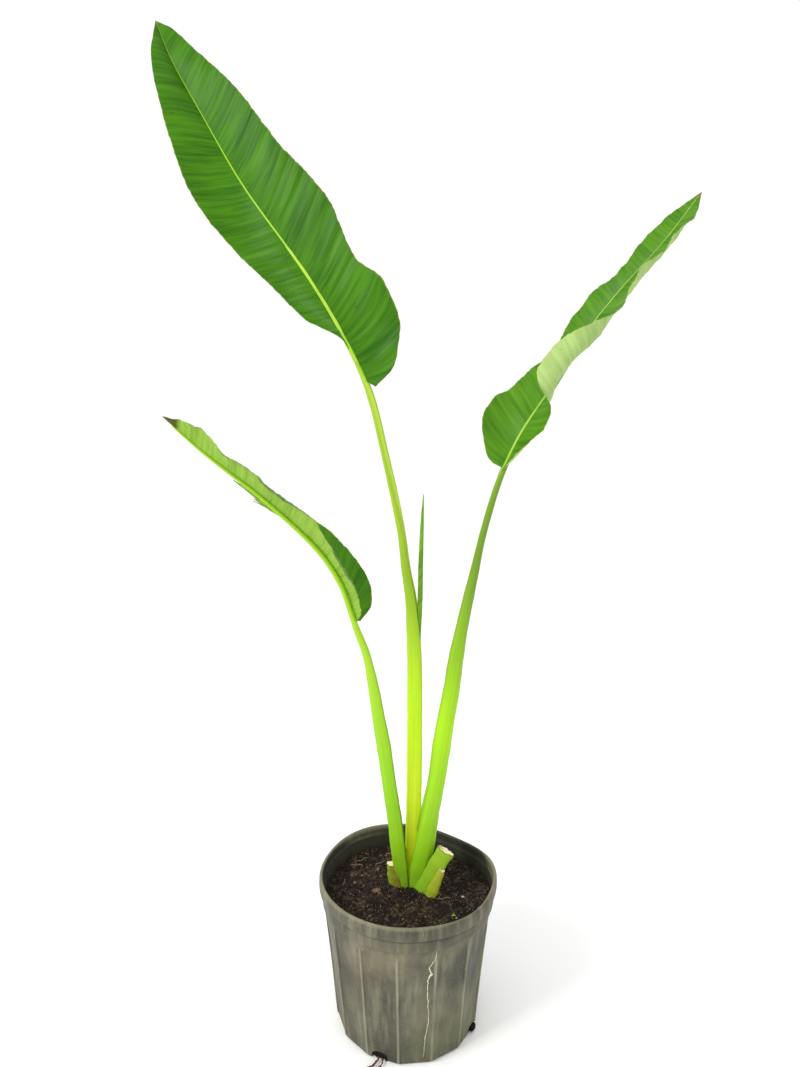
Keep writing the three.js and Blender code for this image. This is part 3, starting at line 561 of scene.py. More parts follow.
def build_stalk(name, rows, material, node, count, seed):
    p = np.array([r[:3] for r in rows], float)
    u = np.linspace(0, 1, count + 1)
    c, length = spline(rows, u)
    near = [0.0] + [float(u[np.argmin(((c - q) ** 2).sum(1))]) for q in p[1:-1]] + [1.0]
    table = [[n, *r[3:]] for n, r in zip(near, rows)]
    a, b, g, ox, oy, oz = (ease(table, k)(u) for k in range(1, 7))
    t = unit(np.gradient(c, axis=0))
    rings, side, hollow = section(c, t, np.stack([ox, oy, oz], -1), a, b, g)
    # slight growth unevenness, long shallow ribs along the outside
    out = rings - c[:, None]
    ripple = 1 + 0.010 * np.sin(side * 30)[None, :] * (1 - hollow)[None, :] + 0.014 * wobble(u * length / 90,
        seed, (1.0, 2.3, 3.1))[:, None]
    rings = c[:, None] + out * ripple[..., None]
    v, f = tube_mesh(rings)
    n = rings.shape[0]
    at = {"round": np.concatenate([np.tile(side, n), [0, 0]]),
          "groove": np.concatenate([np.tile(hollow, n), [0, 0]])}
    return piece(name, v, f, material, [node], at)


# ------------------------------------------------------------------ blades
def leaf_frame(leaf, u):
    m, length = spline(leaf["rib"], u)
    t = unit(np.gradient(m, axis=0))
    f = np.array(leaf["face"], float)
    f = unit(f - (t * f).sum(1, keepdims=True) * t)
    return m, t, f, np.cross(t, f), length


def leaf_sheet(leaf, nu, nw, ripple=1.0, inset=None):
    u = np.linspace(0, 1, nu + 1)
    m, t, f, r, length = leaf_frame(leaf, u)
    halves, lats = [], []
    for name, s in (("left", -1), ("right", 1)):
        rows = leaf[name]
        reach, lift, bow, sweep = (ease(rows, k)(u) for k in range(1, 5))
        chord = np.maximum(np.hypot(reach, lift), 1e-6)
        hr = reach / 2 + bow * lift / chord
        hl = lift / 2 - bow * reach / chord
        trim = np.ones(nu + 1) if inset is None else inset(name, u)
        w = np.linspace(0, 1, nw + 1)[None, :] * trim[:, None]
        q, e = 4 * w * (1 - w), w * (2 * w - 1)
        A, D = q * hr[:, None] + e * reach[:, None], q * hl[:, None] + e * lift[:, None]
        g = (m[:, None] + s * A[..., None] * r[:, None] + D[..., None] * f[:, None]
             + (w * sweep[:, None])[..., None] * t[:, None])
        d = np.concatenate([np.zeros((nu + 1, 1)), np.cumsum(np.linalg.norm(np.diff(g, axis=1), axis=2), 1)],
            1)
        halves.append(g)
        lats.append(d * s)
    grid = np.concatenate([halves[0][:, :0:-1], halves[1]], 1)
    lat = np.concatenate([lats[0][:, :0:-1], lats[1]], 1)
    w = np.abs(np.linspace(-1, 1, 2 * nw + 1))[None, :].repeat(nu + 1, 0)
    along = (u * length)[:, None].repeat(2 * nw + 1, 1)
    # pleats between the side veins, and a waving margin
    du, dv = np.gradient(grid, axis=0), np.gradient(grid, axis=1)
    normal = unit(np.cross(dv, du))
    s = along - 0.42 * np.abs(lat)
    k = leaf["seed"]
    size = smooth(0, 25, np.abs(lat))
    fade = smooth(0.0, 0.05, u)[:, None] * (1 - smooth(0.93, 1.0, u))[:, None]
    lean = np.where(lat < 0, 0.0, 3.7)
    pleat = 0.34 * wobble(s / 15 + lean, k, (1.0, 1.63, 2.41)) * size
    wave = leaf.get("wave", 1.2) * wobble(s / 90 + lean, k + 1, (1.0, 1.9, 3.1)) * w**2.2
    crease = 0.5 * wobble(s / 38 + lean, k + 2, (1.0, 2.2)) * w
    grid = grid + ((pleat + wave + crease) * fade * ripple)[..., None] * normal
    return grid, lat, along, w, u


def shell(grid, thick, attrs):
    """A closed thin shell round a sheet of points. Side 0 is the upper skin."""
    nu, n, _ = grid.shape
    normal = unit(np.cross(np.gradient(grid, axis=1), np.gradient(grid, axis=0)))
    t = thick / 2
    verts = np.vstack([(grid + t * normal).reshape(-1, 3), (grid - t * normal).reshape(-1, 3)])
    low = nu * n
    top = quads(nu, n, wrap=False)
    faces = top.tolist() + (top[:, ::-1] + low).tolist()
    rim = (list(range(n - 1)) + [i * n + n - 1 for i in range(nu - 1)]
           + [(nu - 1) * n + j for j in range(n - 1, 0, -1)] + [i * n for i in range(nu - 1, 0, -1)])
    for a, b in zip(rim, rim[1:] + rim[:1]):
        faces.append([a, low + a, low + b, b])
    at = {k: np.concatenate([x.ravel(), x.ravel()]) for k, x in attrs.items()}
    at["side"] = np.concatenate([np.zeros(low), np.ones(low)])
    return verts, faces, at


def midrib(leaf, sizes, steps=9):
    """Rows that carry a stalk on under its blade."""
    u = np.linspace(0, 1, 121)
    m, t, f, r, _ = leaf_frame(leaf, u)
    sheet, *_ = leaf_sheet(leaf, 120, 8, ripple=0)
    mid = sheet.shape[1] // 2
    left, right = unit(sheet[:, mid - 1] - m), unit(sheet[:, mid + 1] - m)

    def turn(d, s):
        return -s * (d * f).sum(1, keepdims=True) * r + s * (d * r).sum(1, keepdims=True) * f
    up = unit(turn(left, -1) + turn(right, 1))
    read = ease(sizes, 1)
    out = []
    for k in range(steps):
        x = 0.03 + 0.93 * k / (steps - 1)
        i = int(round(x * 120))
        size = float(read(x))
        out.append([*(m[i] - up[i] * size * 0.92), size, size, 0.0, *up[i]])
    return out


tall = dict(seed=11, wave=1.3,
    rib=[(-57, 60, 945), (-85, 72, 1000), (-142, 95, 1092), (-226, 130, 1206), (-289, 165, 1310),
    (-331, 190, 1383), (-356, 210, 1440.3)],
    face=(0.05, -1, 0.25),
    left=[(0, 0.5, 0, 0, 0), (0.1, 3, 0, 0, 0), (0.2, 34, -12, 4, 0), (0.3, 46, -18, 5, 0),
    (0.42, 59, -16, 4, 0), (0.56, 68, 6, 3, 0),
          (0.7, 56, 20, -3, 0), (0.8, 42, 22, -4, 0), (0.9, 25, 14, -3, 0), (1, 0.4, 0, 0, 0)],
    right=[(0, 8, 4, 0, -13), (0.05, 46, 10, 3, -25), (0.12, 76, 22, 6, -20), (0.17, 81, 28, 7, 0),
    (0.24, 67, 14, 2, 5),
           (0.38, 82, 20, 3, 10), (0.56, 69, 22, 4, 10), (0.7, 60, 20, 2, 10), (0.85, 38, 12, -2, 8),
           (0.95, 20, 3, 0, 5), (1, 0.4, 0, 0, 0)])
right_leaf = dict(seed=23, wave=0.9,
    rib=[(119, -48, 841), (142, -48, 888), (177, -44, 942), (221, -36, 1011), (267, -26, 1067),
    (314, -14, 1117), (363, 4, 1178)],
    face=(-0.18, -0.98, 0.05),
    left=[(0, 14, 2, 0, 0), (0.03, 26, 2, 0, -6), (0.06, 36, 2, 3, -6), (0.12, 54, -8, 5, 0),
    (0.16, 54, -18, 5, 0), (0.22, 42, -30, 5, 0),
          (0.3, 36, -40, 5, 0), (0.4, 22, -46, 6, 0), (0.5, 26, -44, 5, 0), (0.6, 26, -40, 4, 0),
          (0.68, 17, -36, 4, 0), (0.8, 22, -28, 3, 0),
          (0.9, 16, -16, 1, 0), (1, 0.4, 0, 0, 0)],
    right=[(0, 0.5, 1, 0, -4), (0.07, 8, 30, 6, -4), (0.16, 21, 40, 4, -2), (0.21, 15, 42, 4, 0),
    (0.25, -12, 38, 14, 0), (0.29, -26, 36, 17, 0),
           (0.36, -24, 38, 18, 0), (0.42, -14, 42, 20, 0), (0.47, 0, 44, 16, 0), (0.55, 16, 40, 4, 0),
           (0.61, 8, 40, 8, 0), (0.68, 2, 36, 10, 0),
           (0.76, 8, 32, 5, 0), (0.83, 4, 26, 7, 0), (0.9, 12, 16, 0, 0), (1, 0.4, 0, 0, 0)])
left_leaf = dict(seed=37, wave=0.8,
    rib=[(-68, -48, 638), (-82, -54, 685), (-107, -62, 731), (-133, -70, 762), (-181, -82, 810),
    (-229, -92, 851), (-262, -98, 880), (-292, -104, 910)],
    face=(0.1, -0.98, 0.1),
    left=[(0, 0.5, 2, 0, 0), (0.06, -9, 24, -4, -2), (0.13, -12, 36, -5, 0), (0.24, -10, 44, -6, 0),
    (0.33, -14, 48, -6, 0), (0.42, -24, 46, -6, 0),
          (0.5, -20, 46, -8, 0), (0.58, -15, 46, -8, 0), (0.68, -19, 42, -6, 0), (0.78, -15, 36, -5, 0),
          (0.82, -19, 30, -4, 0), (0.87, -22, 20, -3, 3),
          (0.93, -12, 9, -2, 5), (1, -0.4, 0.4, 0, 0)],
    right=[(0, 5, -4, 1, -3), (0.05, 25, -14, 4, -8), (0.1, 32, -24, 5, -2), (0.2, 28, -38, 5, 0),
    (0.33, 20, -44, 5, 0), (0.45, 14, -46, 5, 0),
           (0.6, 9, -44, 5, 0), (0.75, 6, -36, 4, 0), (0.88, 6, -22, 2, 0), (1, 0.4, -0.2, 0, 0)])

tall_stalk = [
    (5, 16, 170, 8, 11, 0, 1, -0.3, 0), (6, 15, 209, 8.5, 12, 0.7, 1, -0.2, 0),
    (10, 14, 280, 9, 13.3, 0.9, 1, 0, 0),
    (11.7, 13, 378, 9, 13.3, 0.9, 1, 0, 0), (12, 14, 470, 9, 13, 0.9, 1, 0, 0),
    (11.3, 17, 559, 8.5, 12.4, 0.8, 1, 0, 0),
    (8, 19, 612, 8, 10.4, 0.7, 1, -0.1, 0), (4.6, 23, 650, 7.4, 8.8, 0.55, 1, -0.2, 0),
    (-2.5, 27, 690, 6.5, 6.8, 0.35, 1, -0.3, 0),
    (-9, 32, 740, 5.8, 5.6, 0.3, 0.8, -0.7, 0), (-19, 40, 791, 5.8, 5, 0.3, 0.5, -1, 0),
    (-33, 48, 853, 5.2, 4.6, 0.25, 0.2, -1, 0),
    (-48, 58, 915, 5.2, 4.4, 0.15, 0.1, -1, 0.1)]
right_stalk = [
    (11, 9, 170, 8.5, 11, 0, -1, 0.4, 0), (12, 8, 209, 9, 12.5, 0.7, -1, 0.4, 0),
    (15, 4, 242, 10.5, 16, 0.9, -1, 0.2, 0),
    (21.4, -1, 280, 11, 17.8, 0.9, -1, 0, 0), (27, -5, 319, 11, 16.6, 0.9, -1, 0, 0),
    (32, -8, 350, 10.5, 15.2, 0.9, -1, 0, 0),
    (38.8, -10, 389, 10, 14.6, 0.85, -1, 0, 0), (44.6, -12, 437, 9.5, 15, 0.8, -1, 0, 0),
    (51, -15, 483, 9, 13.9, 0.7, -1, 0, 0),
    (58.4, -18, 529, 8.5, 12.7, 0.6, -1, 0, 0), (63.8, -22, 574, 8, 11.6, 0.5, -1, 0, 0),
    (70.8, -26, 618, 7, 9.1, 0.45, -1, 0, 0),
    (78.8, -30, 662, 6, 8, 0.4, -1, 0, 0), (87, -34, 704, 5, 6.3, 0.3, -1, 0, 0),
    (94.6, -38, 745, 4.7, 5, 0.3, -1, 0, 0),
    (104, -42, 786, 4.5, 4.6, 0.25, -1, 0.1, 0), (114, -46, 822, 4.4, 4.2, 0.15, -1, 0.1, 0)]
left_stalk = [
    (-4, 13, 170, 8, 11, 0, 1, -0.4, 0), (-4.4, 12, 209, 8.5, 12.8, 0.7, 1, -0.4, 0),
    (-7.6, 7, 240, 9, 13.6, 0.9, 1, -0.2, 0),
    (-12.4, 1, 279, 9, 12.9, 0.9, 1, 0, 0), (-15.9, -4, 318, 8.5, 12.7, 0.9, 1, 0, 0),
    (-23.5, -12, 375, 8, 11.7, 0.8, 1, 0, 0),
    (-31.5, -20, 441, 7.2, 11.5, 0.7, 1, 0, 0), (-38.6, -26, 487, 6.6, 10.2, 0.6, 1, 0, 0),
    (-45.4, -32, 534, 6, 8.5, 0.5, 1, 0, 0),
    (-53.6, -38, 580, 5.2, 6.1, 0.35, 1, 0, 0), (-59.8, -41, 602, 4.9, 5.5, 0.3, 1, 0, 0),
    (-66.5, -44, 621, 4.6, 4.9, 0.15, 1, 0, 0.1)]


def margin(seed, nick=0.012):
    """Small irregularities of a leaf's edge."""
    def inset(name, u):
        k = seed + (0 if name == "left" else 5)
        return 1 - nick * (0.5 + 0.5 * wobble(u * 9, k, (1.0, 2.7, 4.9, 8.3)))
    return inset


def build_blade(name, leaf, material, node, thick=0.55, nu=230, nw=38):
    grid, lat, along, w, u = leaf_sheet(leaf, nu, nw, inset=margin(leaf["seed"]))
    attrs = {"lat": lat, "along": along, "edge": w, "u": u[:, None].repeat(w.shape[1], 1)}
    v, f, at = shell(grid, thick, attrs)
    return piece(name, v, f, material, [node], at)


def build_tatters(leaf, material):
    """Torn strips of the far half that stick out below the midrib."""
    parts = []
    for start, end, drop, width, curl in ((0.50, 0.695, 5.5, 4.2, 1.5), (0.50, 0.60, 8.5, 3.0, -1.0),
            (0.505, 0.60, 11.0, 0.7, 2.0), (0.405, 0.425, 5.5, 0.8, 0.5)):
        v = np.linspace(0, 1, 40)
        m, t, f, r, _ = leaf_frame(leaf, start + (end - start) * v)
        mid = 1.5 + (drop - 1.5) * v ** 0.8
        half = width * (1 - v ** 3) * (0.55 + 0.45 * np.sin(np.pi * np.clip(v + 0.25, 0, 1))) + 0.15
        w = np.linspace(-1, 1, 9)
        g = (m[:, None] - (mid[:, None] + half[:, None] * w)[..., None] * r[:, None]
             + (-2.0 + curl * v[:, None] ** 2 + 0.5 * w**2
             + 0.3 * wobble(v * 3, 61, (1.0, 2.3))[:, None])[..., None] * f[:, None])
        lat = np.broadcast_to(8 + 4 * w, g.shape[:2])
        parts.append(shell(g, 0.45, {"lat": lat, "along": np.broadcast_to(v[:, None] * 60, lat.shape),
            "edge": np.broadcast_to(np.abs(w) * 0.9, lat.shape),
                                     "u": np.broadcast_to(0.5 + 0.47 * v[:, None] ** 3, lat.shape)}))
    v, f, at = merge(parts)
    return piece("left_blade_tatters", v, f, material, attrs=at)


# ------------------------------------------------------------------ soil
def soil_top(x, y):
    lumps = 1.6 * np.sin(x / 17 + 0.6) * np.cos(y / 13 - 0.4) + 1.1 * np.sin(x / 8.5 - y / 11)
    hollow = -9 * np.exp(-(((x - 62) / 34) ** 2 + ((y - 40) / 36) ** 2))
    mound = 3 * np.exp(-(((x + 5) / 45) ** 2 + ((y + 5) / 40) ** 2))
    return SOIL_LEVEL + lumps + hollow + mound


def soil_edge(theta):
    return TOP_R - 2.2 + bend(theta, SOIL_LEVEL)[0]


def build_soil(material):
    cols, rows = 300, 110
    theta = np.linspace(0, 2 * np.pi, cols, endpoint=False)
    frac = np.linspace(0.004, 1, rows) ** 0.75
    rings = []
    for z, k in ((3.0, 0.5), (3.0, 0.965), (60.0, 0.975), (186.0, 0.98)):
        r = (plan(theta, z, body_r(z)) - 2.9) * k
        rings.append(np.stack([r * np.cos(theta), r * np.sin(theta), np.full(cols, z)], -1))
    edge = soil_edge(theta)
    for fr in frac[::-1]:
        r = edge * fr
        x, y = r * np.cos(theta), r * np.sin(theta)
        z = soil_top(x, y)
        fine = [1.5 * noise.fractal(Vector((a / 9, b / 9, 1.3)), 0.8, 2.1, 4)
                + 2.0 * abs(noise.noise(Vector((a / 3.1, b / 3.1, 7)))) for a, b in zip(x, y)]
        rings.append(np.stack([x, y, z - 1.2 + np.array(fine)], -1))
    v, f = tube_mesh(np.array(rings))
    return piece("potting_mix", v, f, material, ["potting_soil"], {"tone": np.zeros(len(v))})


def ico():
    b = bmesh.new()
    bmesh.ops.create_icosphere(b, subdivisions=1, radius=1)
    v = np.array([x.co[:] for x in b.verts])
    f = [[q.index for q in x.verts] for x in b.faces]
    b.free()
    return v, f


def granule_tone():
    """Mostly dark crumbs, then brown fines, a little grey grit and a few white grains."""
    pick = rng.random()
    for share, low, spread in ((0.76, 0.1, 0.4), (0.97, 0.56, 0.24), (0.996, 0.86, 0.06)):
        if pick < share:
            return low + spread * rng.random()
    return 1.0


def build_granules(material, count=5200):
    """Bark fines, grit and crumbs lying on the mix."""
    base, faces = ico()
    parts = []
    for i in range(count):
        th = rng.random() * 2 * math.pi
        r = math.sqrt(rng.random()) * (float(soil_edge(np.array([th]))[0]) - 3)
        x, y = r * math.cos(th), r * math.sin(th)
        size = 0.4 + 0.75 * rng.random() ** 2 + (1.5 * rng.random() if rng.random() < 0.05 else 0)
        shape = base * (1 + 0.7 * (rng.random((len(base), 1)) - 0.5)) * size * (0.6 + 0.9 * rng.random(3))
        a, b = rng.random(2) * 2 * math.pi
        rot = np.array([[math.cos(a), -math.sin(a), 0], [math.sin(a), math.cos(a), 0], [0, 0, 1]])
        tip = np.array([[1, 0, 0], [0, math.cos(b), -math.sin(b)], [0, math.sin(b), math.cos(b)]])
        tone = granule_tone()
        z = float(soil_top(x, y)) + size * 0.25
        parts.append((shape @ (rot @ tip).T + (x, y, z), faces, {"tone": tone}))
    v, f, at = merge(parts)
    return piece("soil_granules", v, f, material, attrs=at)


def build_rootlets(material):
    """Dry hair roots lying on the mix."""
    parts = []
    starts = [(-86, 62, 0.4), (-80, 70, 0.9), (-48, 56, 2.4), (-40, 70, 2.0)]
    for i in range(11):
        if i < len(starts):
            x, y, a = starts[i]
        else:
            r, th = 30 + 72 * rng.random(), rng.random() * 2 * math.pi
            x, y, a = r * math.cos(th), r * math.sin(th), rng.random() * 6.28
        pts = []
        for _ in range(7):
            if math.hypot(x, y) > 108:
                break
            pts.append((x, y, float(soil_top(x, y)) + 0.9 + 1.2 * rng.random()))
            a += rng.normal() * 0.55
            x, y = x + 4.2 * math.cos(a), y + 4.2 * math.sin(a)
        if len(pts) > 3:
            k = 0.16 + 0.18 * rng.random()
            v, f = tube_mesh(round_tube(pts, [(0, k), (0.5, k), (1, k * 0.3)], 6, 28))
            parts.append((v, f, {}))
    v, f, _ = merge(parts)
    return piece("hair_roots", v, f, material, ["dry_rootlet"])


# ------------------------------------------------------------------ stubs and small pieces
def build_stub(name, rows, material, node, seed, ragged=1.5, tilt=(0, 0)):
    count = 46
    u = np.linspace(0, 1, count + 1)
    c, _ = spline(rows, u)
    table = [[k / (len(rows) - 1), *r[3:]] for k, r in enumerate(rows)]
    a, b, g, ox, oy, oz = (ease(table, k)(u) for k in range(1, 7))
    t = unit(np.gradient(c, axis=0))
    rings, side, hollow = section(c, t, np.stack([ox, oy, oz], -1), a, b, g, 30, 18)
    rings = c[:, None] + (rings - c[:, None]) * (1 + 0.05 * wobble(u * 2, seed, (1.0, 2.3)))[:, None, None]
    n, m, _ = rings.shape
    # the cut is torn: the last rings follow a slanted, ragged line
    rag = ragged * wobble(side * 2, seed + 1, (1.0, 2.7, 5.3)) + tilt[0] * side + tilt[1] * hollow
    rings = rings + (smooth(0.55, 1.0, u)[:, None] * rag[None, :])[..., None] * t[:, None]
    # cut face: two shrinking rings, dished
    top = rings[-1]
    mid = top.mean(0)
    inner = [top, mid + (top - mid) * 0.9 + t[-1] * 0.25, mid + (top - mid) * 0.6 - t[-1] * 0.8,
             mid + (top - mid) * 0.25 - t[-1] * 1.3]
    rings = np.concatenate([rings, np.array(inner[1:])])
    v, f = tube_mesh(rings)
    up = np.concatenate([np.repeat(u, m), np.ones(3 * m), [0, 1]])
    cut = np.concatenate([np.zeros(n * m), np.ones(3 * m), [0, 1]])
    rnd = np.concatenate([np.tile(side, n + 3), [0, 0]])
    return piece(name, v, f, material, [node], {"up": up, "cut": cut, "round": rnd})


def build_spear(material):
    """The youngest leaf, rolled up: one edge laps over the roll and winds round it."""
    rows = [(12, 16, 470, 3.4), (13, 17, 540, 3.5), (16.6, 17, 640, 3.5), (17.3, 14, 700, 3.2),
            (19, 11, 760, 2.2), (20.6, 9, 797.5, 0.45)]
    count, sides = 200, 36
    u = np.linspace(0, 1, count + 1)
    c, length = spline(rows, u)
    near = [float(u[np.argmin(((c - np.array(r[:3])) ** 2).sum(1))]) for r in rows]
    near[0], near[-1] = 0.0, 1.0
    r = ease([(n, q[3]) for n, q in zip(near, rows)], 1)(u)
    t = unit(np.gradient(c, axis=0))
    e = unit(np.array([0.0, -1, 0]) - (t * np.array([0.0, -1, 0])).sum(1, keepdims=True) * t)
    f = np.cross(t, e)
    q = np.arange(sides) / sides * 2 * np.pi
    turn = 2.6 * u[:, None]
    lap = ((q[None, :] - turn) % (2 * np.pi)) / (2 * np.pi)
    rad = r[:, None] * (0.93 + 0.14 * lap)
    rings = c[:, None] + rad[..., None] * (np.cos(q)[None, :, None] * e[:, None]
        + np.sin(q)[None, :, None] * f[:, None])
    v, fc = tube_mesh(rings)
    n = count + 1
    at = {"lat": np.concatenate([(lap * 60 + 4).ravel(), [30, 30]]),
          "along": np.concatenate([np.repeat(u * length, sides), [0, length]]),
          "side": np.concatenate([np.full(n * sides, 0.75), [1, 1]]),
          "edge": np.concatenate([lap.ravel() * 0.985, [0, 0]]),
          "u": np.concatenate([np.repeat(u, sides), [0, 1]])}
    return piece("rolled_spear", v, fc, material, ["spear_leaf"], at)


def build_small(root, soil, bark, leaf):
    for name, node, path, width, count in (
            ("drain_root_a", "drain_root_long", [(-40.5, -93.5, 5.2), (-46, -104, 4.2), (-52, -109, 3.0),
            (-60, -112.5, 2.5), (-68, -116, 2.2), (-74, -117.6, 2.0)], 1.5, 7),
            ("drain_root_b", "drain_root_short", [(-34.5, -96, 5), (-37, -106, 3.6), (-45, -113, 2),
            (-51, -118, 1.5)], 1.1, 5)):
        parts = []
        for i in range(count):
            c, _ = spline(path, np.linspace(0, 1 - 0.06 * i, 14))
            c = c + width * np.stack([wobble(np.linspace(0, 1.2, 14), 31 + 3 * i + j + count, (1.0, 2.3)) * s
                for j, s in ((0, 0.8), (1, 0.8), (2, 0.5))], -1)
            c[:, 2] = np.maximum(c[:, 2], 0.7)
            v, f = tube_mesh(round_tube(c.tolist(), [(0, 0.6 - 0.04 * i), (0.6, 0.5 - 0.03 * i), (1, 0.2)], 8,
                48))
            parts.append((v, f, {}))
        v, f, _ = merge(parts)
        piece(name, v, f, root, [node])
    base, faces = ico()
    parts = []

    def crumb(size, at, spread):
        shape = base * (1 + 0.4 * (rng.random((len(base), 1)) - 0.5)) * size + at
        parts.append((shape, faces, {"tone": 0.05 + spread * rng.random()}))

    d, s = outward(RIGHT_DRAIN)
    for _ in range(150):
        p = rng.normal(size=3) * 0.42
        p = p / max(1, np.linalg.norm(p))
        size = 0.8 + 1.2 * rng.random()
        crumb(size, d * (104.6 + 3.2 * p[0]) + s * 7 * p[1] + np.array([0, 0, 6.2 + 4.4 * p[2]]), 0.35)
    # mix that shows inside every mouth
    for degrees in DRAIN_ANGLES:
        d, s = outward(degrees)
        for _ in range(110):
            size = 1.3 + 1.3 * rng.random()
            at = d * (96.5 + 3.2 * rng.random()) + s * 10.6 * (2 * rng.random() - 1)
            crumb(size, at + np.array([0, 0, 0.8 + 12 * rng.random()]), 0.3)
    v, f, at = merge(parts)
    v[:, 2] = np.maximum(v[:, 2], 0.05)
    piece("drain_crumbs", v, f, soil, ["drain_soil_clump"], at)
    # bark chip: a curled flake
    gx, gy = np.meshgrid(np.linspace(-1, 1, 25), np.linspace(-1, 1, 17), indexing="ij")
    k = np.sqrt(1 - 0.45 * gy**2)
    px = 6.2 * gx * k * (1 + 0.06 * np.sin(5 * gy))
    py = 4.0 * gy * np.sqrt(1 - 0.4 * gx**2) * (1 + 0.05 * np.sin(7 * gx))
    pz = 1.1 - 0.9 * gy**2 - 0.4 * gx**2 + 0.15 * np.sin(9 * gy)
    c, sn = math.cos(0.5), math.sin(0.5)
    z0 = float(soil_top(*CHIP)) + 3.0
    grid = np.stack([CHIP[0] + c * px - sn * py, CHIP[1] + sn * px + c * py, z0 + pz], -1)
    v, f, _ = shell(grid, 1.4, {})
    piece("bark_flake", v, f, bark, ["bark_chip"], sharp=50)
    # seedling: a thread stem and three small leaves
    x0, y0, z0 = *SPROUT, float(soil_top(*SPROUT))
    parts = []
    stem = tube_mesh(round_tube([(x0, y0, z0 - 1), (x0 + 0.3, y0, z0 + 3), (x0 + 1.2, y0 - 0.4, z0 + 5.4)],
        [(0, 0.7), (1, 0.45)], 8, 16))
    parts.append((*stem, {"lat": 3.0, "along": 4.0, "side": 0.5, "edge": 0.3, "u": 0.3}))
    for a, up in ((-0.5, 0.5), (1.5, 0.7), (3.6, 0.4)):
        uu, ww = np.meshgrid(np.linspace(0, 1, 15), np.linspace(-1, 1, 9), indexing="ij")
        wid = 1.2 * np.sin(np.pi * np.clip(uu * 0.92 + 0.05, 0, 1)) ** 0.8
        o = np.array([x0 + 1.1, y0 - 0.4, z0 + 5.2])
        dd = np.array([math.cos(a), math.sin(a), up])
        ss = np.array([-math.sin(a), math.cos(a), 0])
        g = o + uu[..., None] * 3.2 * dd + (ww * wid)[..., None] * ss + (0.5 * ww**2 - 1.6 * uu**2)[...,
            None] * np.array([0, 0, 1])
        v, f, at = shell(g, 0.25, {"lat": ww * wid * 6, "along": uu * 30, "edge": np.abs(ww) * 0.9,
            "u": uu * 0.9})
        parts.append((v, f, at))
    v, f, at = merge(parts)
    piece("seedling", v, f, leaf, ["weed_sprout"], at)


# ------------------------------------------------------------------ the plant
can_m = can_material()
soil_m = soil_material()
leaf_m = leaf_material("leaf_skin", (30, 82, 3), (64, 122, 9), (112, 150, 52), (142, 176, 80), (150, 192, 54))
right_m = leaf_material("leaf_skin_right", (48, 104, 8), (84, 138, 24), (140, 172, 92), (172, 198, 124),
    (160, 196, 74), 0.975)
left_m = leaf_material("leaf_skin_left", (42, 104, 6), (74, 134, 18), (112, 154, 48), (152, 186, 76),
    (186, 232, 44), 0.93, (70, 56, 24))
spear_m = leaf_material("spear_skin", (66, 120, 16), (96, 148, 30), (84, 132, 28), (128, 176, 44),
    (160, 200, 70), 0.992)
# the tall stalk's low and middle colours are raised close to full brightness to make up for the shade it
# stands in: partly its pale skin, partly painted light
tall_stalk_m = stalk_material("stalk_skin_tall", (240, 255, 44), (196, 238, 26), (146, 182, 40), 240, 720)
right_stalk_m = stalk_material("stalk_skin_right", (138, 192, 32), (160, 212, 20), (104, 140, 34), 225, 760)
left_stalk_m = stalk_material("stalk_skin_left", (138, 188, 34), (140, 196, 28), (154, 198, 42), 225, 600)
root_m = dry_material("root_skin", (52, 28, 18), (96, 54, 36), (134, 86, 58), 90, (1, 1, 1))
hair_m = dry_material("hair_root_skin", (120, 98, 74), (164, 140, 110), (196, 176, 146), 160, (1, 1, 1))
bark_m = dry_material("bark_skin", (66, 48, 36), (110, 84, 64), (150, 122, 98), 200, (1, 0.25, 1))
split_m = dry_material("split_edge", (176, 166, 138), (220, 212, 188), (242, 238, 222), 300, (1, 1, 0.3),
    0.0003)
stub_l_m = stub_material("stub_skin_left", (134, 172, 30), (150, 184, 40), (160, 150, 48), 0.6)
stub_r_m = stub_material("stub_skin_long", (122, 176, 24), (146, 184, 34), (136, 150, 40))
stub_s_m = stub_material("stub_skin_short", (152, 180, 36), (168, 178, 46), (168, 136, 44), 0.9)

build_can(can_m)
build_split(split_m)
build_soil(soil_m)
build_granules(soil_m)
build_rootlets(hair_m)
build_blade("tall_blade", tall, leaf_m, "leaf_tall_blade")
build_blade("right_blade", right_leaf, right_m, "leaf_right_blade")
build_blade("left_blade", left_leaf, left_m, "leaf_left_blade")
build_tatters(left_leaf, left_m)
build_stalk("tall_stalk", tall_stalk + midrib(tall, [(0, 4.2), (0.3, 3.4), (0.7, 2.2), (1, 0.8)]),
            tall_stalk_m, "leaf_tall_stalk", 420, 1)
build_stalk("right_stalk", right_stalk + midrib(right_leaf, [(0, 3.8), (0.3, 3), (0.7, 2), (1, 0.7)]),
            right_stalk_m, "leaf_right_stalk", 380, 2)
build_stalk("left_stalk", left_stalk + midrib(left_leaf, [(0, 4), (0.3, 3.2), (0.7, 2), (1, 0.7)]),
            left_stalk_m, "leaf_left_stalk", 330, 3)
build_spear(spear_m)
build_stub("cut_stub_left", [(-16, 12, 182, 5, 11.5, 0.3, 0.83, -0.56, 0),
    (-17, 12.5, 208, 5, 12.6, 0.3, 0.83, -0.56, 0), (-24.5, 9, 244, 3.6, 7.4, 0.2, 0.83, -0.56, 0.1)],
    stub_l_m, "stub_left", 3, 1.0, (2, 0))
build_stub("cut_stub_long", [(14, -1, 182, 5, 11.5, 0.3, -0.83, 0.56, 0),
    (18.5, -3.5, 208, 5, 12.2, 0.3, -0.83, 0.56, 0), (54, -16, 282, 6, 14.6, 0.25, -0.96, 0.26, 0.2)],
    stub_r_m, "stub_right_long", 5, 0.8, (1, 2))
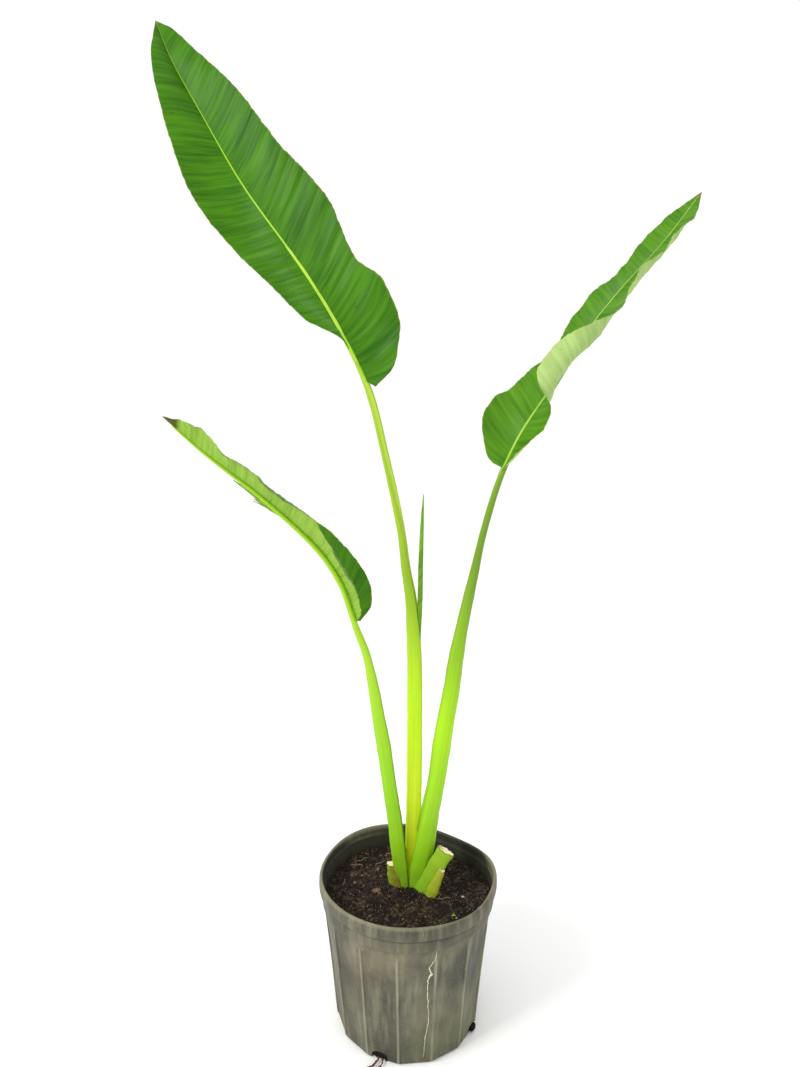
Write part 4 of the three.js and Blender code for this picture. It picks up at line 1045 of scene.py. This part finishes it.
build_stub("cut_stub_short", [(29, -9, 182, 4.5, 9, 0.4, -0.83, 0.56, 0),
    (33.5, -13, 208, 4.5, 9.5, 0.4, -0.83, 0.56, 0), (49, -21, 253, 3.6, 5, 0.3, -0.83, 0.56, 0.3)], stub_s_m,
    "stub_right_short", 8, 1.8, (0, 1))
build_small(root_m, soil_m, bark_m, spear_m)

# ------------------------------------------------------------------ floor, light, camera
floor_mesh = bpy.data.meshes.new("floor")
floor_mesh.from_pydata([(x, y, -FLOOR_DROP) for x, y in ((-6, -4), (6, -4), (6, 8), (-6, 8))], [],
    [(0, 1, 2, 3)])
floor = bpy.data.objects.new("floor", floor_mesh)
bpy.context.scene.collection.objects.link(floor)
pale = Mat("floor_pale", Roughness=0.9)
floor_mesh.materials.append(pale.done(pale.mix(pale.noise(3), srgb(250, 250, 249), srgb(253, 253, 252))))

world = bpy.data.worlds.new("studio")
bpy.context.scene.world = world
world.use_nodes = True
world.node_tree.nodes["Background"].inputs[0].default_value = (1.0, 1.0, 1.0, 1)
world.node_tree.nodes["Background"].inputs[1].default_value = 1.05


def area(name, at, aim, size, power, color=(1, 1, 1)):
    light = bpy.data.lights.new(name, "AREA")
    light.size, light.energy, light.color = size, power, color
    obj = bpy.data.objects.new(name, light)
    obj.location = at
    obj.rotation_euler = (Vector(aim) - Vector(at)).to_track_quat("-Z", "Y").to_euler()
    bpy.context.scene.collection.objects.link(obj)


area("key", (-1.8, -1.3, 2.2), (0, 0, 0.7), 0.8, 44, (1, 0.985, 0.96))
area("fill", (1.9, -1.3, 1.6), (0, 0, 0.7), 1.6, 3)

cam_data = bpy.data.cameras.new("camera")
cam_data.lens = 28.68
cam_data.sensor_width = 36
cam = bpy.data.objects.new("camera", cam_data)
cam.location = (-0.011, -1.116, 0.989)
cam.rotation_euler = (math.pi / 2 - 0.2146, 0, 0)
bpy.context.scene.collection.objects.link(cam)
bpy.context.scene.camera = cam
bpy.context.scene.view_settings.view_transform = "Standard"
bpy.context.scene.view_settings.look = "None"
